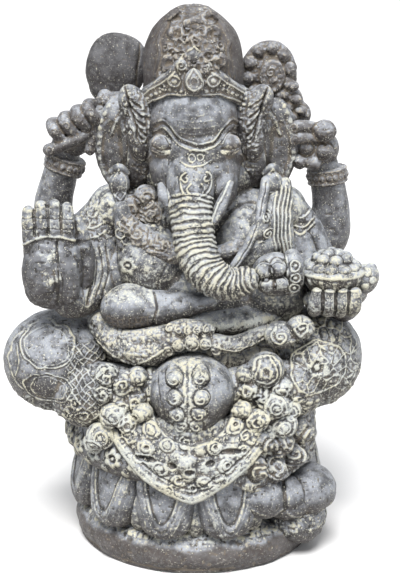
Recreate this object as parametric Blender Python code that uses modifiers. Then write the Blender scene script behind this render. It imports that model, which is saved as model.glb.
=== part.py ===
"""A seated four-armed Ganesha of dark volcanic stone on a round lotus seat.

The figure faces -Y, with +Z up and the origin at the middle of the flat underside.
Sides are the figure's own: its right hand is at -X.
Every carved element is a solid of its own. Elements are made in order of importance,
and each later one is cut back wherever an earlier one already stands, less a thin gap.
"""

import math

import bpy
import bmesh
from mathutils import Euler, Matrix, Vector

MM = 0.001
GAP = 0.4  # mm of air at each joint between two elements

# Driving dimensions, in millimetres.
HEIGHT = 556
SLAB_RADIUS = 131
SLAB_TOP = 46
SEAT_BOTTOM = 92
SEAT_TOP = 142
SEAT_RADIUS = 132
CORE_RADIUS = 102
PETAL_COUNT = 12
PETAL_RING_RADIUS = 117
HIP_HEIGHT = 192
BELLY_HEIGHT = 272
CHEST_HEIGHT = 338
SHOULDER_HEIGHT = 350
HEAD_HEIGHT = 428
CROWN_FOOT = 462
FIGURE_X = -3  # the figure sits a little to its right of the seat's centre

STONE_FINISHES = {
    "polished_stone": ((0.075, 0.078, 0.082), 0.45),
    "carved_stone": ((0.26, 0.255, 0.21), 0.75),
}
BALL_SEGMENTS = 14
BALL_RINGS = 8
TUBE_RESOLUTION = 2

parts = bpy.data.collections.new("ganesha_idol")
cutters = bpy.data.collections.new("cutters")
placed = []  # (lowest corner, highest corner, cutter) of every element made so far


def clear_scene():
    for obj in list(bpy.data.objects):
        bpy.data.objects.remove(obj)
    bpy.context.scene.collection.children.link(parts)
    bpy.context.scene.collection.children.link(cutters)


def finish_material(name):
    """The stone finish of that name, made on first use."""
    material = bpy.data.materials.get(name)
    if material is None:
        colour, roughness = STONE_FINISHES[name]
        material = bpy.data.materials.new(name)
        material.use_nodes = True
        shader = material.node_tree.nodes["Principled BSDF"]
        shader.inputs["Base Color"].default_value = (*colour, 1)
        shader.inputs["Roughness"].default_value = roughness
        shader.inputs["Metallic"].default_value = 0
    return material


def mm(*values):
    return Vector(values) * MM


def turned_by(degrees):
    return Euler([math.radians(angle) for angle in degrees]).to_matrix().to_4x4()


# Shapes. Each returns a mesh object in the cutters collection, in place, with its scale applied.


def add_object(name, mesh):
    obj = bpy.data.objects.new(name, mesh)
    cutters.objects.link(obj)
    obj.hide_render = True
    obj.display_type = "WIRE"
    return obj


def baked(obj):
    """The object's evaluated shape as a new mesh object with welded caps; the old one is removed."""
    bpy.context.view_layer.update()
    graph = bpy.context.evaluated_depsgraph_get()
    mesh = bpy.data.meshes.new_from_object(obj.evaluated_get(graph))
    mesh.transform(obj.matrix_world)
    shape = bmesh.new()
    shape.from_mesh(mesh)
    bmesh.ops.remove_doubles(shape, verts=shape.verts, dist=0.00001)
    bmesh.ops.recalc_face_normals(shape, faces=shape.faces)
    shape.to_mesh(mesh)
    shape.free()
    name = obj.name
    bpy.data.objects.remove(obj)
    return add_object(name, mesh)


def ball(centre, radii, turn=(0, 0, 0), segments=BALL_SEGMENTS, rings=BALL_RINGS):
    """An ellipsoid; turn is its rotation about X, Y and Z in degrees."""
    mesh = bpy.data.meshes.new("ball")
    shape = bmesh.new()
    bmesh.ops.create_uvsphere(shape, u_segments=segments, v_segments=rings, radius=1)
    shape.to_mesh(mesh)
    shape.free()
    size = Matrix.Diagonal((*(mm(*radii)), 1))
    mesh.transform(Matrix.Translation(mm(*centre)) @ turned_by(turn) @ size)
    return add_object("ball", mesh)


def limb(points, radii, resolution=TUBE_RESOLUTION):
    """A round bar through points, with its own radius at each of them."""
    curve = bpy.data.curves.new("limb", "CURVE")
    curve.dimensions = "3D"
    curve.bevel_depth = MM
    curve.bevel_resolution = resolution
    curve.use_fill_caps = True
    spline = curve.splines.new("POLY")
    spline.points.add(len(points) - 1)
    for point, place, radius in zip(spline.points, points, radii):
        point.co = (*mm(*place), 1)
        point.radius = radius
    return baked(add_object("limb", curve))


def turned(profile, centre=(0, 0), steps=24):
    """A solid of revolution about a vertical axis; profile is (radius, height), top to bottom."""
    mesh = bpy.data.meshes.new("turned")
    shape = bmesh.new()
    corners = [shape.verts.new(mm(radius, 0, height)) for radius, height in profile]
    for upper, lower in zip(corners, corners[1:]):
        shape.edges.new((upper, lower))
    shape.to_mesh(mesh)
    shape.free()
    obj = add_object("turned", mesh)
    screw = obj.modifiers.new("turn", "SCREW")
    screw.steps = steps
    screw.render_steps = steps
    screw.use_merge_vertices = True
    screw.merge_threshold = 0.00001
    obj.location = mm(*centre, 0)
    return baked(obj)


def front_prism(outline, depth=200):
    """A prism standing in front of the axis, its outline given as (x, z) corners."""
    curve = bpy.data.curves.new("prism", "CURVE")
    curve.dimensions = "2D"
    curve.fill_mode = "BOTH"
    curve.extrude = depth / 2 * MM
    spline = curve.splines.new("POLY")
    spline.use_cyclic_u = True
    spline.points.add(len(outline) - 1)
    for point, (x, z) in zip(spline.points, outline):
        point.co = (x * MM, z * MM, 0, 1)
    obj = add_object("prism", curve)
    obj.rotation_euler = (math.radians(90), 0, 0)
    obj.location = mm(0, -depth / 2, 0)
    return baked(obj)


def combined(first, second, operation):
    """first changed by a Boolean with second; second is removed."""
    boolean = first.modifiers.new("combine", "BOOLEAN")
    boolean.operation = operation
    boolean.object = second
    result = baked(first)
    bpy.data.objects.remove(second)
    return result


def fused(*shapes):
    whole = shapes[0]
    for shape in shapes[1:]:
        whole = combined(whole, shape, "UNION")
    return whole


def apron_shell(profile, outline, centre=(0, 0)):
    """The front stretch of a turned wall that lies inside an outline seen from the front."""
    return combined(turned(profile, centre, steps=32), front_prism(outline), "INTERSECT")


# Fitting elements to each other.


def box_of(obj):
    corners = [vertex.co for vertex in obj.data.vertices]
    low = Vector([min(co[axis] for co in corners) for axis in range(3)])
    high = Vector([max(co[axis] for co in corners) for axis in range(3)])
    return low, high


def boxes_meet(low_a, high_a, low_b, high_b):
    return all(low_a[i] <= high_b[i] and low_b[i] <= high_a[i] for i in range(3))


def grown_copy(obj):
    """A copy of the shape, larger all round by the joint gap."""
    mesh = obj.data.copy()
    normals = [vertex.normal.copy() for vertex in mesh.vertices]
    for vertex, normal in zip(mesh.vertices, normals):
        vertex.co += normal * GAP * MM
    return add_object("grown", mesh)


def keep_largest_body(obj):
    """Drops the chips that a cut may leave beside the main body."""
    shape = bmesh.new()
    shape.from_mesh(obj.data)
    waiting = set(shape.verts)
    bodies = []
    while waiting:
        body = set()
        front = [waiting.pop()]
        while front:
            vertex = front.pop()
            body.add(vertex)
            for edge in vertex.link_edges:
                other = edge.other_vert(vertex)
                if other in waiting:
                    waiting.discard(other)
                    front.append(other)
        bodies.append(body)
    bodies.sort(key=len)
    chips = [vertex for body in bodies[:-1] for vertex in body]
    bmesh.ops.delete(shape, geom=chips, context="VERTS")
    shape.to_mesh(obj.data)
    shape.free()


def place(name, shape, finish="polished_stone"):
    """Makes the shape an element: cut back from all earlier ones, named, shaded and finished."""
    pristine = grown_copy(shape)
    low, high = box_of(pristine)
    for other_low, other_high, cutter in placed:
        if boxes_meet(low, high, other_low, other_high):
            cut = shape.modifiers.new("fit", "BOOLEAN")
            cut.operation = "DIFFERENCE"
            cut.object = cutter
    shape = baked(shape)
    keep_largest_body(shape)
    placed.append((low, high, pristine))
    cutters.objects.unlink(shape)
    parts.objects.link(shape)
    shape.hide_render = False
    shape.display_type = "TEXTURED"
    shape.name = name
    shape.data.name = name
    shape.data.materials.clear()
    shape.data.materials.append(finish_material(finish))
    shape.data.shade_smooth()
    shape.data.set_sharp_from_angle(angle=math.radians(40))
    return shape


# The seat, from the ground up.


def make_seat():
    slab = [(0, SLAB_TOP), (108, SLAB_TOP), (123, 37), (SLAB_RADIUS, 25)]
    slab += [(SLAB_RADIUS, 14), (126, 5), (117, 0), (0, 0)]
    place("foot_slab", turned(slab, steps=32), "carved_stone")
    core = [(0, SEAT_BOTTOM), (CORE_RADIUS, SEAT_BOTTOM)]
    core += [(CORE_RADIUS - 4, SLAB_TOP - 2), (0, SLAB_TOP - 2)]
    place("lotus_core", turned(core))
    cushion = [(0, SEAT_TOP), (112, SEAT_TOP), (126, 133), (SEAT_RADIUS, 112)]
    cushion += [(127, 99), (114, SEAT_BOTTOM - 3), (0, SEAT_BOTTOM - 3)]
    place("seat_cushion", turned(cushion, (2 * FIGURE_X, 0)), "carved_stone")
    for number in range(PETAL_COUNT):
        make_petal(number)


def make_petal(number):
    """A hanging petal; the one below the figure's left knee is left as a bulky lump."""
    angle = math.radians(-90 + 15 + 30 * number)
    reach, height, radii = PETAL_RING_RADIUS, 74, (27, 16, 36)
    if number == 1:
        angle += math.radians(9)
        reach, height, radii = 126, 62, (44, 26, 33)
    place_at = (reach * math.cos(angle), reach * math.sin(angle), height)
    turn = (-9, 0, math.degrees(angle) + 90)
    place(f"petal_{number + 1:02d}", ball(place_at, radii, turn, segments=10))


# The folded legs, the feet and the cloth that hangs over the seat's front.


def make_legs():
    right_knee = ball((-142, -22, 194), (61, 60, 55))
    right_thigh = ball((-85, 8, 206), (56, 56, 40), (0, -8, 0))
    place("right_leg", fused(right_knee, right_thigh), "carved_stone")
    left_knee = ball((120, -22, 198), (55, 60, 54))
    left_thigh = ball((76, 8, 206), (56, 56, 40), (0, 8, 0))
    place("left_leg", fused(left_knee, left_thigh), "carved_stone")
    for side, sign in (("right", -1), ("left", 1)):
        foot_centre = (FIGURE_X - 1 + sign * 21, -86, 178)
        place(f"{side}_foot", ball(foot_centre, (23, 42, 45)))
    right_shin = [(-134, -42, 174), (-114, -66, 172), (-74, -86, 175), (-48, -92, 178)]
    place("right_shin", limb(right_shin, (22, 34, 31, 24)), "carved_stone")
    left_shin = [(116, -42, 178), (98, -66, 178), (68, -84, 182), (42, -92, 180)]
    place("left_shin", limb(left_shin, (20, 33, 30, 24)), "carved_stone")


def make_aprons():
    wall = [(104, 186), (120, 172), (131, 140), (138, 100), (136, 62), (118, 62)]
    wall += [(118, 150), (104, 170)]
    wall.append(wall[0])
    outline = [(-104, 140), (-6, 82), (6, 84), (100, 150), (100, 190), (-104, 190)]
    place("front_apron", apron_shell(wall, outline), "carved_stone")
    inner = [(112, 160), (128, 150), (131, 110), (129, 66), (112, 66), (112, 160)]
    left_outline = [(44, 88), (58, 82), (124, 108), (130, 150), (50, 150)]
    place("left_hip_drape", apron_shell(inner, left_outline), "carved_stone")


# The trunk of the body and what is worn on it.


def make_torso():
    belly = ball((FIGURE_X + 8, -6, BELLY_HEIGHT), (86, 60, 48), segments=16, rings=10)
    place("belly", belly)
    place("hips", ball((FIGURE_X, 16, HIP_HEIGHT), (112, 82, 56)), "carved_stone")
    place("belly_fold", ball((FIGURE_X + 14, -24, 246), (78, 50, 27)))
    chest = ball((FIGURE_X + 4, 8, CHEST_HEIGHT), (96, 52, 50), segments=16, rings=10)
    place("chest", chest)


def make_waist_wear():
    sash = fused(
        ball((-72, -60, 261), (28, 25, 25), (0, -14, 0), segments=12),
        limb([(-66, -58, 262), (-34, -60, 264), (6, -68, 266)], (21, 14, 7)),
    )
    place("sash_roll", sash)
    belt = [(-98, -44, 236), (-66, -76, 223), (-36, -86, 230), (-5, -86, 238)]
    belt += [(36, -80, 232), (74, -58, 246)]
    strap = limb(belt, [7] * len(belt))
    buckle = ball((-8, -90, 236), (19, 12, 13), segments=10)
    place("belt", fused(strap, buckle), "carved_stone")


def make_ornaments():
    collar = [(-80, -22, 352), (-62, -44, 336), (-34, -57, 322), (0, -60, 316)]
    collar += [(34, -57, 322), (64, -44, 336), (84, -22, 352)]
    place("necklace", limb(collar, [9, 11, 12, 12, 12, 11, 9]), "carved_stone")
    cord = [(76, -20, 372), (60, -46, 356), (48, -60, 330), (36, -70, 300)]
    place("sacred_cord", limb(cord, [6, 6.5, 6.5, 6]))
    sash = [(86, -16, 380), (92, -26, 348), (97, -32, 306)]
    place("shoulder_sash", limb(sash, (9, 12, 11)), "carved_stone")


# Head, ears, tusks and crown.


def make_head():
    skull = ball((2, -8, HEAD_HEIGHT), (53, 54, 50), segments=16, rings=10)
    cheeks = ball((2, -25, 397), (48, 40, 37), segments=16, rings=10)
    place("head", fused(skull, cheeks))


def make_face():
    route = [(-2, -50, 390), (-2, -66, 370), (-1, -76, 350), (1, -84, 332)]
    route += [(7, -90, 316), (18, -93, 303), (35, -93, 296), (50, -92, 297), (60, -90, 300)]
    radii = [24, 23, 22.5, 22, 21, 20, 18.5, 17, 13]
    place("trunk", limb(route, radii, resolution=2))
    short_tusk = limb([(-36, -40, 392), (-34, -54, 374), (-31, -62, 362)], (6, 8, 7))
    place("right_tusk", short_tusk)
    long_tusk = limb([(44, -36, 392), (36, -58, 374), (24, -70, 356)], (7, 9, 7))
    place("left_tusk", long_tusk)
    for side, sign in (("right", -1), ("left", 1)):
        ear = ball((sign * 77, 0, 411), (31, 12, 56), (4, sign * 6, sign * 16))
        place(f"{side}_ear", ear)
        earring = ball((sign * 76, -16, 365), (13, 10, 19), segments=10)
        place(f"{side}_earring", earring, "carved_stone")


def make_crown():
    dome = [(0, HEIGHT), (12, 554), (25, 547), (42, 531), (50, 518), (53, 498)]
    dome += [(54, 478), (53, CROWN_FOOT), (44, 444), (0, 440)]
    place("crown", turned(dome, (FIGURE_X, 8), steps=24), "carved_stone")
    band = [(48, 526), (58, 516), (62, 490), (63, 466), (58, 460), (40, 460), (48, 526)]
    peak = [(-58, 456), (-58, 472), (-24, 492), (-3, 522), (18, 492), (54, 472), (54, 456)]
    jewel = ball((FIGURE_X, -55, 488), (9, 7, 14), segments=10)
    plate = apron_shell(band, peak, (FIGURE_X, 6))
    place("diadem", fused(plate, jewel), "carved_stone")


# Arms, hands and what they hold.


def ring(centre, radius, half_height, turn):
    """A short solid drum; the limb that runs through it is cut out of it when it is placed."""
    bead = [(0, half_height), (radius - 2, half_height), (radius, 0)]
    bead += [(radius - 2, -half_height), (0, -half_height)]
    drum = turned(bead, steps=16)
    drum.data.transform(Matrix.Translation(mm(*centre)) @ turned_by(turn))
    return drum


def bent_arm(upper, upper_radii, elbow, elbow_radius, fore, fore_radii):
    joint = ball(elbow, (elbow_radius,) * 3, segments=12)
    return fused(limb(upper, upper_radii), joint, limb(fore, fore_radii))


def make_rear_arms():
    right_upper = [(-92, 20, 342), (-116, 26, 314), (-136, 30, 306)]
    right_fore = [(-148, 28, 312), (-150, 26, 350), (-141, 24, 390), (-134, 21, 412)]
    right_arm = bent_arm(
        right_upper, (22, 23, 22), (-141, 30, 310), 24, right_fore, (22, 20.5, 18, 15)
    )
    place("right_rear_arm", right_arm)
    left_upper = [(92, 20, 342), (112, 28, 312), (128, 30, 304)]
    left_fore = [(141, 28, 312), (142, 26, 342), (136, 24, 376), (128, 21, 400)]
    left_arm = bent_arm(
        left_upper, (22, 23, 22), (134, 30, 308), 24, left_fore, (22, 20.5, 18, 15)
    )
    place("left_rear_arm", left_arm)
    wrists = (("right", (-140, 24, 392), 14), ("left", (136, 24, 378), -14))
    for side, centre, lean in wrists:
        cuff = ring(centre, 22, 9, (0, lean, 0))
        place(f"{side}_rear_bracelet", cuff, "carved_stone")


def make_right_rear_hand():
    """A fist seen from its knuckles, closed on the shaft of the axe."""
    hand = ball((-126, 17, 424), (24, 15, 20), (0, -14, 0), segments=10)
    thumb = limb([(-152, 6, 416), (-136, 1, 419), (-118, 3, 427)], (8, 8.5, 6))
    fingers = [finger_of_fist(number) for number in range(4)]
    place("right_rear_hand", fused(hand, thumb, *fingers))


def finger_of_fist(number):
    along, rise = 13.5 * number, 6 * number
    tip = (-137 + along, 0, 424 + rise)
    knuckle = (-146 + along, 6, 436 + rise)
    root = (-140 + along, 17, 437 + rise)
    return limb([tip, knuckle, root], (6, 7.5, 6), resolution=1)


def make_left_rear_hand():
    """A fist round the rosary, its fingers lying across towards the head."""
    hand = ball((124, 17, 413), (22, 16, 24), segments=10)
    fingers = []
    for number in range(3):
        drop = 12 * number
        tip = (98 + 3 * number, 4, 429 - drop)
        knuckle = (132, 5, 437 - drop)
        fingers.append(limb([tip, knuckle, (134, 17, 430 - drop)], (6, 7.5, 6), 1))
    place("left_rear_hand", fused(hand, *fingers))


def make_rear_attributes():
    blade = ball((-83, 27, 490), (29, 12, 37), segments=16)
    place("axe_blade", blade)
    shaft = limb([(-94, 20, 466), (-100, 14, 440), (-108, 10, 408)], (7, 7.5, 7.5))
    place("axe_shaft", shaft)
    bud = ball((75, 16, 480), (12, 10, 17), segments=10)
    plate = ball((73, 28, 480), (30, 11, 39), segments=16)
    place("rosary", fused(plate, bud), "carved_stone")


def make_front_hands():
    palm = ball((-144, -66, 302), (30, 15, 39))
    fingers = [
        limb([(x, -66, 318), (x, -70, 350), (x, -68, 372)], (7.5, 8, 6.5), 1)
        for x in (-165, -151, -137, -123)
    ]
    thumb = limb([(-116, -56, 276), (-109, -60, 312), (-112, -62, 348)], (7, 9, 6))
    place("right_front_hand", fused(palm, *fingers, thumb))
    bowl = [(0, 303), (28, 303), (31, 298), (27, 287), (18, 279), (0, 279)]
    place("sweets_bowl", turned(bowl, (136, -60), steps=20))
    heap = [(0, 322), (12, 319), (21, 311), (25, 301), (0, 301)]
    place("sweets", turned(heap, (136, -60), steps=16), "carved_stone")
    heel = ball((168, -52, 288), (17, 18, 17), segments=10)
    cup = ball((134, -60, 270), (30, 25, 17), segments=16)
    place("left_front_hand", fused(cup, heel))
    cuff = ball((81, -70, 299), (28, 22, 25))
    place("left_front_wrist", cuff, "carved_stone")


def make_front_arms():
    right_upper = [(-88, 0, 352), (-103, -4, 322), (-113, -12, 284)]
    right_fore = [(-116, -20, 274), (-126, -46, 266)]
    right_arm = bent_arm(
        right_upper, (22, 24, 21), (-115, -17, 276), 21.5, right_fore, (19, 16)
    )
    place("right_front_arm", right_arm)
    left_upper = [(88, 0, 350), (112, -4, 312), (138, -10, 272)]
    left_fore = [(148, -22, 260), (146, -50, 266)]
    left_arm = bent_arm(
        left_upper, (22, 24, 22), (146, -15, 262), 22.5, left_fore, (20, 16)
    )
    place("left_front_arm", left_arm)


clear_scene()
make_seat()
make_torso()
make_head()
make_crown()
make_legs()
make_aprons()
make_face()
make_front_arms()
make_rear_arms()
make_front_hands()
make_right_rear_hand()
make_left_rear_hand()
make_rear_attributes()
make_waist_wear()
make_ornaments()
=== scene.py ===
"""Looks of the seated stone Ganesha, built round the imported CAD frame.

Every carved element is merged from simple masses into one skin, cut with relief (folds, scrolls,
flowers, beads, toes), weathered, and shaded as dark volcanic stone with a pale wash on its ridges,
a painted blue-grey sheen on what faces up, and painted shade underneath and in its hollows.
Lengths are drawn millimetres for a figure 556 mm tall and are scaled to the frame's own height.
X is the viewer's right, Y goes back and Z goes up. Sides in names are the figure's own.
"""

import math

import bpy
import numpy as np
from mathutils import Euler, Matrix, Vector


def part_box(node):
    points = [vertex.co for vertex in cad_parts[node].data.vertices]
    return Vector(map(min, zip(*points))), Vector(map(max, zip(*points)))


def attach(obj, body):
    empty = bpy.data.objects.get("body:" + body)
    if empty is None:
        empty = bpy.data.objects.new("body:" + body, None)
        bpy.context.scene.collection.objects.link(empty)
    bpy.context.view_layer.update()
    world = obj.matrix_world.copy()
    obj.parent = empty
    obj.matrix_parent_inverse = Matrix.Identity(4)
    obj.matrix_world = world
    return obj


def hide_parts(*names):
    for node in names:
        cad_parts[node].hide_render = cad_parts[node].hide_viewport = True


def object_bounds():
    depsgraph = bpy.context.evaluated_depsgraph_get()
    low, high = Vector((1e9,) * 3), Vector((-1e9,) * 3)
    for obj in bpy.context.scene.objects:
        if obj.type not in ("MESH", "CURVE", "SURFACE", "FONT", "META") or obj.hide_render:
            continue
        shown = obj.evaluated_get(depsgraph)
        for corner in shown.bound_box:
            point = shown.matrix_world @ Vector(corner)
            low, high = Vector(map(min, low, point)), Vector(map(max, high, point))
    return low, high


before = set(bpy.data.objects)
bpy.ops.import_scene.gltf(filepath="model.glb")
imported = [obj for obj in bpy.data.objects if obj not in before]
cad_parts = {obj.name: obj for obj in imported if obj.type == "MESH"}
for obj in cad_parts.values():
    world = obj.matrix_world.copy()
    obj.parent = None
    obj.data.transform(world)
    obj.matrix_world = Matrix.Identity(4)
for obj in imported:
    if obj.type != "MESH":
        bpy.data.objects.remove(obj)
cad_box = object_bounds()

DRAWN_HEIGHT = 556.0
UNIT = (cad_box[1].z - cad_box[0].z) / DRAWN_HEIGHT  # metres in a drawn millimetre
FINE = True
VOXEL = 1.0 if FINE else 2.4
TAU = 2 * math.pi
DRIFT = 0.9  # how far drawn lines wander, in drawn millimetres
FLOOR_RADIUS = 14.0  # metres

# Colours of the stone, what lies on it, and the painted sheen and shade, linear.
BARE_DARK = (0.028, 0.028, 0.032)
BARE_LIGHT = (0.135, 0.138, 0.150)
BARE_BROWN = (0.078, 0.058, 0.046)
# Painted sheen: a blue-grey highlight for what faces up.
PAINTED_SHEEN = (0.40, 0.43, 0.48)
GRAIN_LIGHT = (0.15, 0.15, 0.152)
# Painted shade for what faces down.
UNDERSIDE_SHADE = (0.020, 0.013, 0.011)
# Painted shade for hollows.
HOLLOW_SHADE = (0.015, 0.013, 0.011)
OCHRE = (0.15, 0.123, 0.092)
WASH_WARM = (0.60, 0.575, 0.44)
WASH_COOL = (0.56, 0.58, 0.535)
WASH_BROWN = (0.37, 0.33, 0.265)
SPECK = (0.85, 0.82, 0.66)

# Places taken from the frame.


def middle(node):
    """The centre of a CAD node's box, in drawn millimetres."""
    low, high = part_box(node)
    return np.array((low + high) / 2) / UNIT


def reach(node):
    """Half the size of a CAD node's box, in drawn millimetres."""
    low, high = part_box(node)
    return np.array((high - low) / 2) / UNIT


# Masses. Each is (points, faces) of a closed skin, in drawn millimetres.


def through(points, count):
    """A smooth line through the points, as count points."""
    points = np.asarray(points, float)
    padded = np.vstack([2 * points[0] - points[1], points, 2 * points[-1] - points[-2]])
    place = np.linspace(0, len(points) - 1, count)
    start = np.minimum(place.astype(int), len(points) - 2)
    t = (place - start)[:, None]
    a, b, c, d = (padded[start + i] for i in range(4))
    return 0.5 * (2 * b + (c - a) * t + (2 * a - 5 * b + 4 * c - d) * t**2 + (3 * b - a - 3 * c + d) * t**3)


def skin(rings, first, last):
    """A closed skin over rings (rows, columns, 3) of points, fanned to a point at each end."""
    rows, columns = rings.shape[:2]
    index = np.arange(rows * columns).reshape(rows, columns)
    ahead = np.roll(index, -1, axis=1)
    quads = np.stack([index[:-1], ahead[:-1], ahead[1:], index[1:]], axis=-1).reshape(-1, 4)
    low, high = rows * columns, rows * columns + 1
    fan_low = [(low, int(b), int(a)) for a, b in zip(index[0], ahead[0])]
    fan_high = [(high, int(a), int(b)) for a, b in zip(index[-1], ahead[-1])]
    points = np.vstack([rings.reshape(-1, 3), first, last])
    return points, quads.tolist() + fan_low + fan_high


def ball(centre, radii, turn=(0, 0, 0), square=2.0):
    """An ellipsoid, boxier when square is over 2; turn is its rotation in degrees."""
    rows, columns = 20, 32
    slope = np.linspace(0, math.pi, rows + 2)[1:-1, None]
    angle = np.linspace(0, TAU, columns, endpoint=False)[None, :]
    shape = np.stack(
        [np.sin(slope) * np.cos(angle), np.sin(slope) * np.sin(angle), np.cos(slope) + 0 * angle], -1
    )
    shape = shape / (np.abs(shape) ** square).sum(-1, keepdims=True) ** (1 / square)
    ends = np.array([[0, 0, 1.0], [0, 0, -1.0]])
    spin = np.array(Euler([math.radians(a) for a in turn]).to_matrix())
    place = lambda p: (p * np.array(radii)) @ spin.T + np.array(centre)
    return skin(place(shape), place(ends[0]), place(ends[1]))


def limb(points, radii, flat=(1.0, 1.0), columns=20):
    """A round bar along a smooth line, with rounded ends; flat squeezes it across or front to back."""
    reach_along = sum(math.dist(a, b) for a, b in zip(points, points[1:]))
    count = max(8, int(reach_along / 2.5))
    line = through(points, count)
    width = through(np.asarray(radii, float)[:, None], count)[:, 0]
    along = np.gradient(line, axis=0)
    along /= np.linalg.norm(along, axis=1, keepdims=True)
    side = np.cross(along[0], (0.3, 1.0, 0.2))
    sides = []
    for tangent in along:
        side = side - tangent * side.dot(tangent)
        side = side / np.linalg.norm(side)
        sides.append(side)
    sides = np.array(sides)
    others = np.cross(along, sides)
    angle = np.linspace(0, TAU, columns, endpoint=False)
    caps = np.radians([80, 60, 40, 20])
    steps = [(line[0] - along[0] * width[0] * math.sin(c), 0, width[0] * math.cos(c)) for c in caps]
    steps += [(line[i], i, width[i]) for i in range(count)]
    far = along[-1] * width[-1]
    steps += [(line[-1] + far * math.sin(c), -1, width[-1] * math.cos(c)) for c in caps[::-1]]
    rings = []
    for centre, i, radius in steps:
        around = flat[0] * np.cos(angle)[
            :, None
        ] * sides[i] + flat[1] * np.sin(angle)[:, None] * others[i]
        rings.append(centre + radius * around)
    first = line[0] - along[0] * width[0]
    last = line[-1] + along[-1] * width[-1]
    return skin(np.array(rings), first, last)


def turned(profile, centre=(0, 0), squash=1.0):
    """A solid of revolution; profile is (radius, height) from the top's middle to the bottom's middle."""
    profile = np.asarray(profile, float)
    angle = np.linspace(0, TAU, 96, endpoint=False)
    rings = [
        np.stack([r * np.cos(angle), squash * r * np.sin(angle), np.full_like(angle, z)], -1)
        for r, z in profile[1:-1]
    ]
    shift = np.array([centre[0], centre[1], 0])
    first, last = np.array([0, 0, profile[0, 1]]), np.array([0, 0, profile[-1, 1]])
    return skin(np.array(rings) + shift, first + shift, last + shift)


def smooth_profile(points, count=40):
    """A turning profile rounded through its corner points, ends on the axis."""
    curve = through(points, count)
    return [(max(r, 0.01), z) for r, z in curve]


# Relief. Each gives a value for every surface point: 1 on the motif, falling to 0 beside it.


def ease(value):
    """Clips to 0..1 with soft ends."""
    value = np.clip(value, 0, 1)
    return value * value * (3 - 2 * value)


def line_distance(flat, path):
    """Distance in the drawing plane from each point to a line."""
    best = np.full(len(flat), 1e6)
    for start, end in zip(path[:-1], path[1:]):
        edge = end - start
        t = np.clip((flat - start) @ edge / max(edge @ edge, 1e-9), 0, 1)
        best = np.minimum(best, ((flat - start - t[:, None] * edge) ** 2).sum(1))
    return np.sqrt(best)


def stroke(flat, points, width, sharp=False):
    """A rounded line drawn through points, smoothly unless it is sharp."""
    path = np.asarray(points, float)
    if not sharp and len(points) > 2:
        path = through(points, 4 * len(points))
    value = np.zeros(len(flat))
    low, high = path.min(0) - width, path.max(0) + width
    near = ((flat > low) & (flat < high)).all(1)
    if near.any():
        value[near] = ease(1 - line_distance(flat[near], path) / width)
    return value


def blob(flat, centre, radii):
    """A round boss."""
    span = (((flat - np.array(centre)) / np.array(radii)) ** 2).sum(1)
    return np.sqrt(np.clip(1 - span, 0, 1))


def hoop(flat, centre, radius, width, squash=1.0):
    """A ring line."""
    away = (flat - np.array(centre)) / np.array([1, squash])
    return ease(1 - np.abs(np.hypot(away[:, 0], away[:, 1]) - radius) / width)


def blossom(flat, centre, radius, petals=5, spin=0.0):
    """A flower: petals round a hollow with a bead in it. Runs from -1 in the hollow to 1."""
    away = flat - np.array(centre)
    span = np.hypot(away[:, 0], away[:, 1]) / radius
    lobes = 0.72 + 0.28 * np.abs(np.cos(petals / 2 * (np.arctan2(away[:, 1], away[:, 0]) + spin)))
    petal = ease((lobes - span) * 3) * ease((span - 0.22) * 5)
    bead = 0.9 * ease(1.4 - span * 6)
    well = -0.9 * ease(1 - np.abs(span - 0.27) * 6)
    return petal + bead + well


def curl(centre, radius, turns=1.4, start=0.0, hand=1):
    """Points of a spiral that runs in to its centre."""
    t = np.linspace(0, 1, 14)
    angle = math.radians(start) + hand * TAU * turns * t
    size = radius * (1 - 0.82 * t)
    return np.stack([centre[0] + size * np.cos(angle), centre[1] + size * np.sin(angle)], -1)


def bead_row(flat, points, radius, spacing):
    """Beads set along a line."""
    path = through(points, 60)
    lengths = np.concatenate([[0], np.cumsum(np.linalg.norm(np.diff(path, axis=0), axis=1))])
    count = max(2, int(lengths[-1] / spacing))
    value = np.zeros(len(flat))
    for place in np.linspace(0, lengths[-1], count):
        centre = [np.interp(place, lengths, path[:, axis]) for axis in range(2)]
        value = np.maximum(value, blob(flat, centre, (radius, radius)))
    return value


LATTICE = np.random.default_rng(11).uniform(-1, 1, (32, 32, 32))


def grain(points, size, shift=0.0):
    """Smooth noise from -1 to 1 with lumps of the given size."""
    cell = points / size + shift
    base = np.floor(cell).astype(int)
    blend = cell - base
    blend = blend * blend * (3 - 2 * blend)
    total = np.zeros(len(points))
    for corner in range(8):
        offset = np.array([corner & 1, corner >> 1 & 1, corner >> 2 & 1])
        weight = np.where(offset == 1, blend, 1 - blend).prod(1)
        x, y, z = ((base + offset) % 32).T
        total += weight * LATTICE[x, y, z]
    return total


def drift(points):
    """How far a drawn line wanders sideways and up at each point, from -1 to 1."""
    return np.stack([grain(points, 9, 5.2), grain(points, 9, 8.6)], -1)


def cells(flat, size, seed, jitter=0.35):
    """Distance to the nearest seam of an irregular net of cells."""
    rng = np.random.default_rng(seed)
    offsets = rng.uniform(-jitter, jitter, (64, 64, 2))
    cell = np.floor(flat / size).astype(int)
    nearest = np.full(len(flat), 1e9)
    second = np.full(len(flat), 1e9)
    for dx in (-1, 0, 1):
        for dy in (-1, 0, 1):
            corner = cell + (dx, dy)
            seed_at = (corner + 0.5 + offsets[corner[:, 0] % 64, corner[:, 1] % 64]) * size
            away = np.linalg.norm(flat - seed_at, axis=1)
            second = np.minimum(second, np.maximum(nearest, away))
            nearest = np.minimum(nearest, away)
    return second - nearest


# The stone surface that the relief is cut into.


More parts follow.
